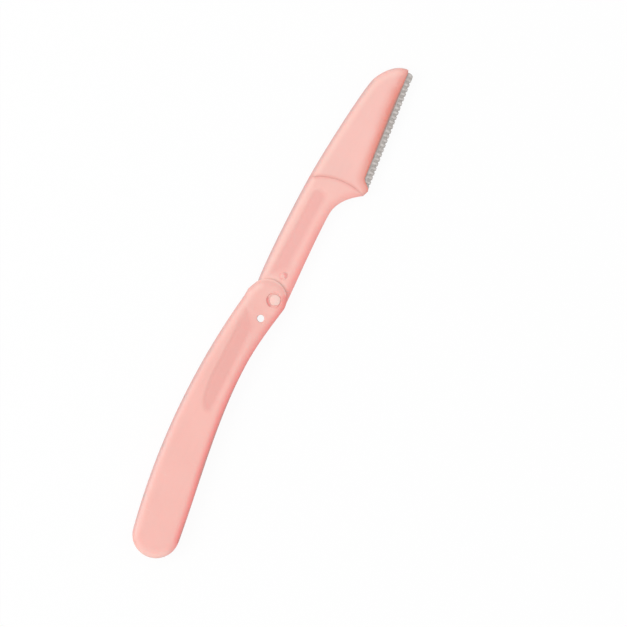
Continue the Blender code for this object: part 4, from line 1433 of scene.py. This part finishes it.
@dataclass(frozen=True)
class Guard:
    """The comb guard: sheet folded round the blade's edge and slotted from the fold."""

    edge: CuttingEdge = CuttingEdge()
    sheet: float = 0.2
    gap: float = 0.05
    height: float = 3.3
    start: float = 0.7
    end: float = 37.75
    corner: float = 1.2
    slot: float = 0.6
    pitch: float = 1.5
    slot_reach: float = 1.4
    margin: float = 0.9
    swell: float = 0.035
    swell_past: float = 0.6
    swell_fade: float = 0.8
    burr: float = 0.035
    burr_angle: float = math.radians(50)
    end_steps: int = 6
    blade_thickness: float = 0.25

    def half(self) -> float:
        """Half the folded guard's thickness."""
        return self.blade_thickness / 2 + self.gap + self.sheet

    def columns(self) -> tuple[np.ndarray, np.ndarray]:
        """Places along the guard, and which spans between them are slots."""
        count = int((self.end - self.start - self.corner - 2 * self.margin) / self.pitch) + 1
        first = self.start + self.margin
        rib = self.pitch - self.slot
        places = [self.start, self.start + self.margin / 2]
        for index in range(count):
            low = first + index * self.pitch
            places += [low, low + self.slot]
            if index < count - 1:
                places += [low + self.slot + rib * share for share in (0.25, 0.5, 0.75)]
        last = places[-1]
        places = np.array([*places, *np.linspace(last, self.end, self.end_steps + 1)[1:]])
        middles = (places[:-1] + places[1:]) / 2
        into = (middles - first) % self.pitch
        return places, (into < self.slot) & (middles > first) & (middles < last)

    def section(self) -> tuple[np.ndarray, float]:
        """The sheet's middle line round the fold, as (across, off the middle), and the fold's radius."""
        radius, reach = self.half() - self.sheet / 2, self.slot_reach
        flat = np.array((self.height, 2.9, 2.4, 1.9, reach + 0.12, reach, 1.15, 0.85, 0.6))
        fold = (self.half(), 0) + radius * unit(np.linspace(math.pi / 2, 1.5 * math.pi, 11))
        upper = np.column_stack((flat, np.full(len(flat), radius)))
        return np.vstack((upper, fold, upper[::-1] * (1, -1))), radius

    def piece(self, dressed: bpy.types.Material) -> bpy.types.Object:
        """A grid along the guard and across its section, less the slots, thickened and lightly bevelled."""
        places, open_spans = self.columns()
        section, radius = self.section()
        across, lift = section[:, 0], section[:, 1]
        back = np.clip(self.corner - across, 0, self.corner)
        reach = self.end - self.corner + np.sqrt(np.clip(self.corner**2 - back**2, 0, None))
        held = places[-self.end_steps - 1]
        share = np.clip((places - held) / (self.end - held), 0, 1)
        along = np.where(places > held, held + share * (reach[:, None] - held), places)
        from_slot = places - self.start - self.margin - self.slot / 2
        ribs = 0.5 - 0.5 * np.cos(FULL_TURN * from_slot / self.pitch)
        near = eased((self.slot_reach + self.swell_past - across) / self.swell_fade)[:, None]
        height = LEVELS.middle + lift[:, None] * (1 + self.swell / radius * ribs * near)
        ground = self.edge.at(along, across[:, None])
        vertices = np.concatenate((ground, height[..., None]), axis=-1).reshape(-1, 3)
        rows, count = len(section), len(places)
        quads = np.array(strips(rows, count, around=False)).reshape(rows - 1, count - 1, 4)
        slotted = (np.maximum(across[:-1], across[1:]) <= self.slot_reach + 1e-6)[:, None] & open_spans
        used, corners = np.unique(quads[~slotted], return_inverse=True)
        # brighter crests of the ribs near the fold: partly rubbed wear, partly a painted highlight
        rubbed = (ribs**3 * near).ravel()[used]
        sheet = Solid(vertices[used], corners.reshape(-1, 4).tolist(), {Mask.BRIGHT.value: rubbed})
        made = sheet.piece("guard_comb", dressed)
        modify(made, "SOLIDIFY", thickness=self.sheet * MM, offset=0, use_even_offset=True)
        limits = {"limit_method": "ANGLE", "angle_limit": self.burr_angle}
        modify(made, "BEVEL", width=self.burr * MM, segments=2, **limits)
        settle(made)
        return made


@dataclass(frozen=True)
class Head:
    """The head: two shells that clamp the blade and the guard, with a long slope down to the guard."""

    arm: Arm = Arm()
    guard: Guard = Guard()
    edge: CuttingEdge = CuttingEdge()
    seam_gap: float = 0.02
    heel_drop: float = 0.1
    shelf: float = 0.6
    ramp_lean: float = math.radians(20)
    ramp_end: float = 3.6
    ramp_pull: float = 1.0
    exposed_at_heel: float = 2.2
    exposed_at_tip: float = 1.78
    lip_length: float = 37.75
    tip_along: float = 38.5
    tip_across: float = 2.08
    nose_from_tip: tuple[float, float] = (-8.1, 8.2)
    parting: float = 0.025
    pocket_gap: float = 0.05
    tongue_gap: float = 0.15
    blade_start: float = 1.15
    blade_end: float = 37.3
    blade_low: float = 0.25
    blade_high: float = 5.75
    blade_corner: float = 2.2
    blade_grind: float = 0.8
    blade_keen: float = 0.04
    post_along: tuple[float, ...] = (6.5, 19.0, 31.5)
    post_across: float = 4.4
    post_radius: float = 0.6
    post_reach: float = 0.75

    def stretches(self) -> dict[str, np.ndarray]:
        """The outline in order: lip from the heel to the tip, nose, back, seam, and the short heel side."""
        at, direction = self.edge.at, self.edge.angle
        heel, shelf = at(0, -self.heel_drop), at(self.shelf, 0)
        ramp_end = at(self.ramp_end, self.exposed_at_heel)
        leaving = heading(direction + self.ramp_lean, self.ramp_pull)
        ramp = pulled(shelf, leaving, ramp_end, heading(direction, self.ramp_pull))
        lip_end = at(self.lip_length, self.exposed_at_tip)
        tip = at(self.tip_along, self.tip_across)
        nose = tip + np.array(self.nose_from_tip)
        top = np.array(self.arm.seam_top) + (self.seam_gap, 0)
        seam = self.arm.seam(self.seam_gap)[::-1]
        return {
            "lip": np.vstack((straight(heel, shelf), ramp[1:], straight(ramp_end, lip_end)[1:])),
            "nose": np.vstack((straight(lip_end, tip), pulled(tip, (0, 3.9), nose, (-3.4, 0.9))[1:])),
            "back": pulled(nose, (-4.0, 1.05), top, (-10.0, 0.2)),
            "seam": seam,
            "heel": straight(seam[-1], heel),
        }

    def shell(self) -> Solid:
        """The front shell before its pockets are cut."""
        runs = self.stretches()
        lip, nose, back, seam, heel = runs.values()
        outline = closed(lip, *[run[1:] for run in (nose, back, seam, heel)])
        upper = np.vstack((nose, back[1:]))
        edges = [
            Edge(lip, *EDGES.lip),
            Edge(upper, *EDGES.arm),
            Edge(seam, *EDGES.seam),
            Edge(heel, *EDGES.arm),
        ]
        strength = graded(lip, {
            41: 0.5, 45: 0.55, 50: 0.75, 55: 0.95, 61: 1, 67: 1.1, 72: 1, 76: 0.7, 80: 0.4,
        })
        tones = [
            # painted shade on the slope down to the guard, deepest at the lip
            Tone(lip, 3.6, 1.1 * strength),
            Tone(lip, 1.5, 1.7 * strength),
            Tone(straight(self.edge.at(19, 2.2), self.edge.at(31, 2.2)), 3.9, 0.9),
            # painted shade along the seam and the heel
            Tone(seam, *SEAM_PAINTED_SHADE),
            Tone(heel, 1.6, 0.4),
            # painted grey shade at the back's and nose's silhouettes, and a painted highlight band inside them
            Tone(back, 1.3, 0.75, Mask.RIM),
            Tone(nose, 0.9, 0.3, Mask.RIM),
            Tone(shifted(upper[len(nose) // 5 :], HIGHLIGHT_BAND_INSET), 1.5, 0.85, Mask.BRIGHT),
        ]
        high = Face(LEVELS.arm_front, 1, edges)
        low = Face(LEVELS.middle + self.parting, -1, [Edge(looped(outline), *EDGES.parting)])
        return Plate(outline, low, high, tones=tones).solid()

    def pockets(self, dressed: bpy.types.Material) -> list[bpy.types.Object]:
        """Cutters for the tongue, the guard and the blade: prisms about the middle of the head."""
        at, gap, guard, arm = self.edge.at, self.pocket_gap, self.guard, self.arm
        turn = np.linspace(0, math.pi / 2, 7)
        end, size = guard.end + gap, guard.corner
        round_end = at(end - size + size * np.sin(turn), size - gap - size * np.cos(turn))
        first, deep = guard.start - gap, guard.height + gap
        sides = at([end, first, first], [deep, deep, -gap])
        prisms = (
            (arm.tongue_outline(self.tongue_gap), arm.tongue_thickness / 2 + self.tongue_gap),
            (np.vstack((round_end, sides)), guard.half() + gap),
            (self.blade_outline(gap), guard.blade_thickness / 2 + gap),
        )
        cutters = []
        for outline, half in prisms:
            count = len(outline)
            levels = (LEVELS.middle - half, LEVELS.middle + half)
            vertices = np.vstack([np.column_stack((outline, np.full(count, level))) for level in levels])
            faces = strips(2, count) + [tuple(range(count))[::-1], tuple(range(count, 2 * count))]
            cutters.append(Solid(vertices, faces).piece("pocket", dressed))
        return cutters

    def blade_outline(self, grown: float = 0.0) -> np.ndarray:
        """The blade's strip, with a corner off at the tip, grown by a gap for its pocket."""
        first, last = self.blade_start - grown, self.blade_end + grown
        low, high = self.blade_low - grown, self.blade_high + grown
        corners = self.edge.at(
            [first, last, last, last - self.blade_corner, first],
            [low, low, high - self.blade_corner, high, high],
        )
        return closed(*[straight(*pair)[:-1] for pair in zip(corners, np.roll(corners, -1, axis=0))])

    def blade(self) -> Solid:
        """The blade: a flat strip ground from both faces to a keen edge, with three holes."""
        half = self.guard.blade_thickness / 2
        keen_edge = straight(*self.edge.at([self.blade_start, self.blade_end], self.blade_low))
        ground = [Grind(keen_edge, self.blade_grind, half - self.blade_keen / 2)]
        faces = both_faces(LEVELS.middle - half, LEVELS.middle + half, ground)
        radius = self.post_radius + self.pocket_gap
        holes = [Hole(tuple(self.edge.at(x, self.post_across)), radius, 32) for x in self.post_along]
        insets = (0.23, 0.45, self.blade_grind, 0.9)
        return Plate(self.blade_outline(), *faces, holes, insets=insets).solid()

    def posts(self) -> Solid:
        """The back shell's posts, which pass through the blade's holes."""
        low, high = LEVELS.middle - self.post_reach, LEVELS.middle + self.post_reach
        radius, bevel = self.post_radius, 0.08
        profile = ((0, low), (radius, low), (radius, high - bevel), (radius - bevel, high), (0, high))
        made = [turned(profile, self.edge.at(along, self.post_across), 32) for along in self.post_along]
        return made[0].joined(*made[1:])

    def build(self, bench: Bench) -> None:
        """Makes the shells, cuts their pockets, and adds the posts, the guard and the blade."""
        plastic = bench.finishes["head_plastic"]
        shell = self.shell()
        cutters = self.pockets(plastic)
        for name, solid in (("front_shell", shell), ("back_shell", shell.mirrored(LEVELS.middle))):
            made = solid.piece(name, plastic)
            for cutter in cutters:
                modify(made, "BOOLEAN", operation="DIFFERENCE", object=cutter, solver="EXACT")
            settle(made)
            bench.mount(made, "head", f"head_{name}")
        for cutter in cutters:
            bpy.data.objects.remove(cutter, do_unlink=True)
        bench.make(self.posts(), "blade_posts", "head", "head_plastic")
        bench.mount(self.guard.piece(bench.finishes["guard_steel"]), "head", "comb_guard")
        bench.make(self.blade(), "blade_strip", "head", "blade_steel", "blade")


# Studio


@dataclass(frozen=True)
class Lamp:
    """A square lamp that faces the razor.

    Its direction is horizontal, its height an angle, its power in watts, and its size in metres.
    """

    name: str
    toward: tuple[float, float]
    height: float
    power: float
    size: float
    distance: float = 0.9

    def build(self) -> None:
        """Puts the lamp into the scene."""
        data = bpy.data.lights.new(self.name, "AREA")
        data.energy = self.power
        data.size = self.size
        flat = Vector((*self.toward, 0)).normalized() * math.cos(self.height)
        direction = flat + Vector((0, 0, math.sin(self.height)))
        lamp = linked(self.name, data)
        lamp.location = direction * self.distance
        lamp.rotation_euler = direction.to_track_quat("Z", "Y").to_euler()


@dataclass(frozen=True)
class Studio:
    """A white table, soft light from the handle's back, and a camera that looks straight down."""

    turn: float = math.radians(62)
    centre: tuple[float, float] = (2.06, -12.32)
    focus_level: float = 5.0
    lens: float = 200.0
    sensor: float = 36.0
    table_size: float = 3.0
    table_level: float = -0.00002
    shadow_share: float = 0.06
    world_light: float = 0.76
    lamps: tuple[Lamp, ...] = (
        Lamp("key", (-0.469, 0.883), math.radians(50), 2.75, 0.5),
        Lamp("fill", (0.5, -0.4), math.radians(60), 0.4, 1.1),
    )

    def camera(self) -> None:
        """Puts the camera over the image's centre, so that a pixel is 0.3 mm at the front faces."""
        half = math.atan(self.sensor / 2 / self.lens)
        away = IMAGE_PIXELS * MM_PER_PIXEL / 2 / math.tan(half)
        right = Vector((math.cos(self.turn), -math.sin(self.turn), 0))
        up = Vector((math.sin(self.turn), math.cos(self.turn), 0))
        data = bpy.data.cameras.new("camera")
        data.lens = self.lens
        data.sensor_width = self.sensor
        camera = linked("camera", data)
        axes = Matrix((right, up, Vector((0, 0, 1)))).transposed().to_4x4()
        place = Vector((self.centre[0], self.centre[1], self.focus_level + away)) * MM
        camera.matrix_world = Matrix.Translation(place) @ axes
        bpy.context.scene.camera = camera

    def table(self) -> None:
        """The table: diffuse white, and mostly plain white to camera, glossy and transmission rays."""
        material = bpy.data.materials.new("white_table")
        material.use_nodes = True
        material.node_tree.nodes.clear()
        nodes = Nodes(material.node_tree)
        matte = nodes.add("ShaderNodeBsdfDiffuse", {"Color": Colour.FLOOR.rgba}).outputs[0]
        white = nodes.add("ShaderNodeEmission").outputs[0]
        share = nodes.math("MULTIPLY", self.seen(nodes), 1 - self.shadow_share)
        mix = nodes.add("ShaderNodeMixShader", {0: share, 1: matte, 2: white}).outputs[0]
        nodes.add("ShaderNodeOutputMaterial", {"Surface": mix})
        half, level = self.table_size / 2, self.table_level
        mesh = bpy.data.meshes.new("table")
        corners = [(x * half, y * half, level) for x, y in ((-1, -1), (1, -1), (1, 1), (-1, 1))]
        mesh.from_pydata(corners, [], [(0, 1, 2, 3)])
        mesh.materials.append(material)
        table = linked("table", mesh)

    @staticmethod
    def seen(nodes: Nodes) -> Socket:
        """1 for rays that show the background: from the camera, by gloss or through glass."""
        path = nodes.add("ShaderNodeLightPath").outputs
        direct = nodes.math("MAXIMUM", path["Is Camera Ray"], path["Is Glossy Ray"])
        return nodes.math("MAXIMUM", direct, path["Is Transmission Ray"])

    def world(self) -> None:
        """Soft light from all round, plain white where it is seen."""
        world = bpy.data.worlds.new("studio")
        world.use_nodes = True
        bpy.context.scene.world = world
        nodes = Nodes(world.node_tree)
        strength = nodes.math("MULTIPLY_ADD", self.seen(nodes), 1 - self.world_light, self.world_light)
        nodes.feed(world.node_tree.nodes["Background"], {"Color": (1, 1, 1, 1), "Strength": strength})

    def build(self) -> None:
        """Sets the whole studio up."""
        self.camera()
        self.table()
        self.world()
        for lamp in self.lamps:
            lamp.build()
        bpy.context.scene.view_settings.view_transform = "Standard"


def main() -> None:
    """Builds the razor piece by piece, then the studio round it."""
    logging.basicConfig(level=logging.INFO, format="%(message)s")
    bench = Bench()
    handle = Handle()
    handle.build(bench)
    Pivot().build(bench)
    Arm().build(bench, handle.stretches()["pivot"])
    Head().build(bench)
    Studio().build()


if __name__ == "__main__":
    main()
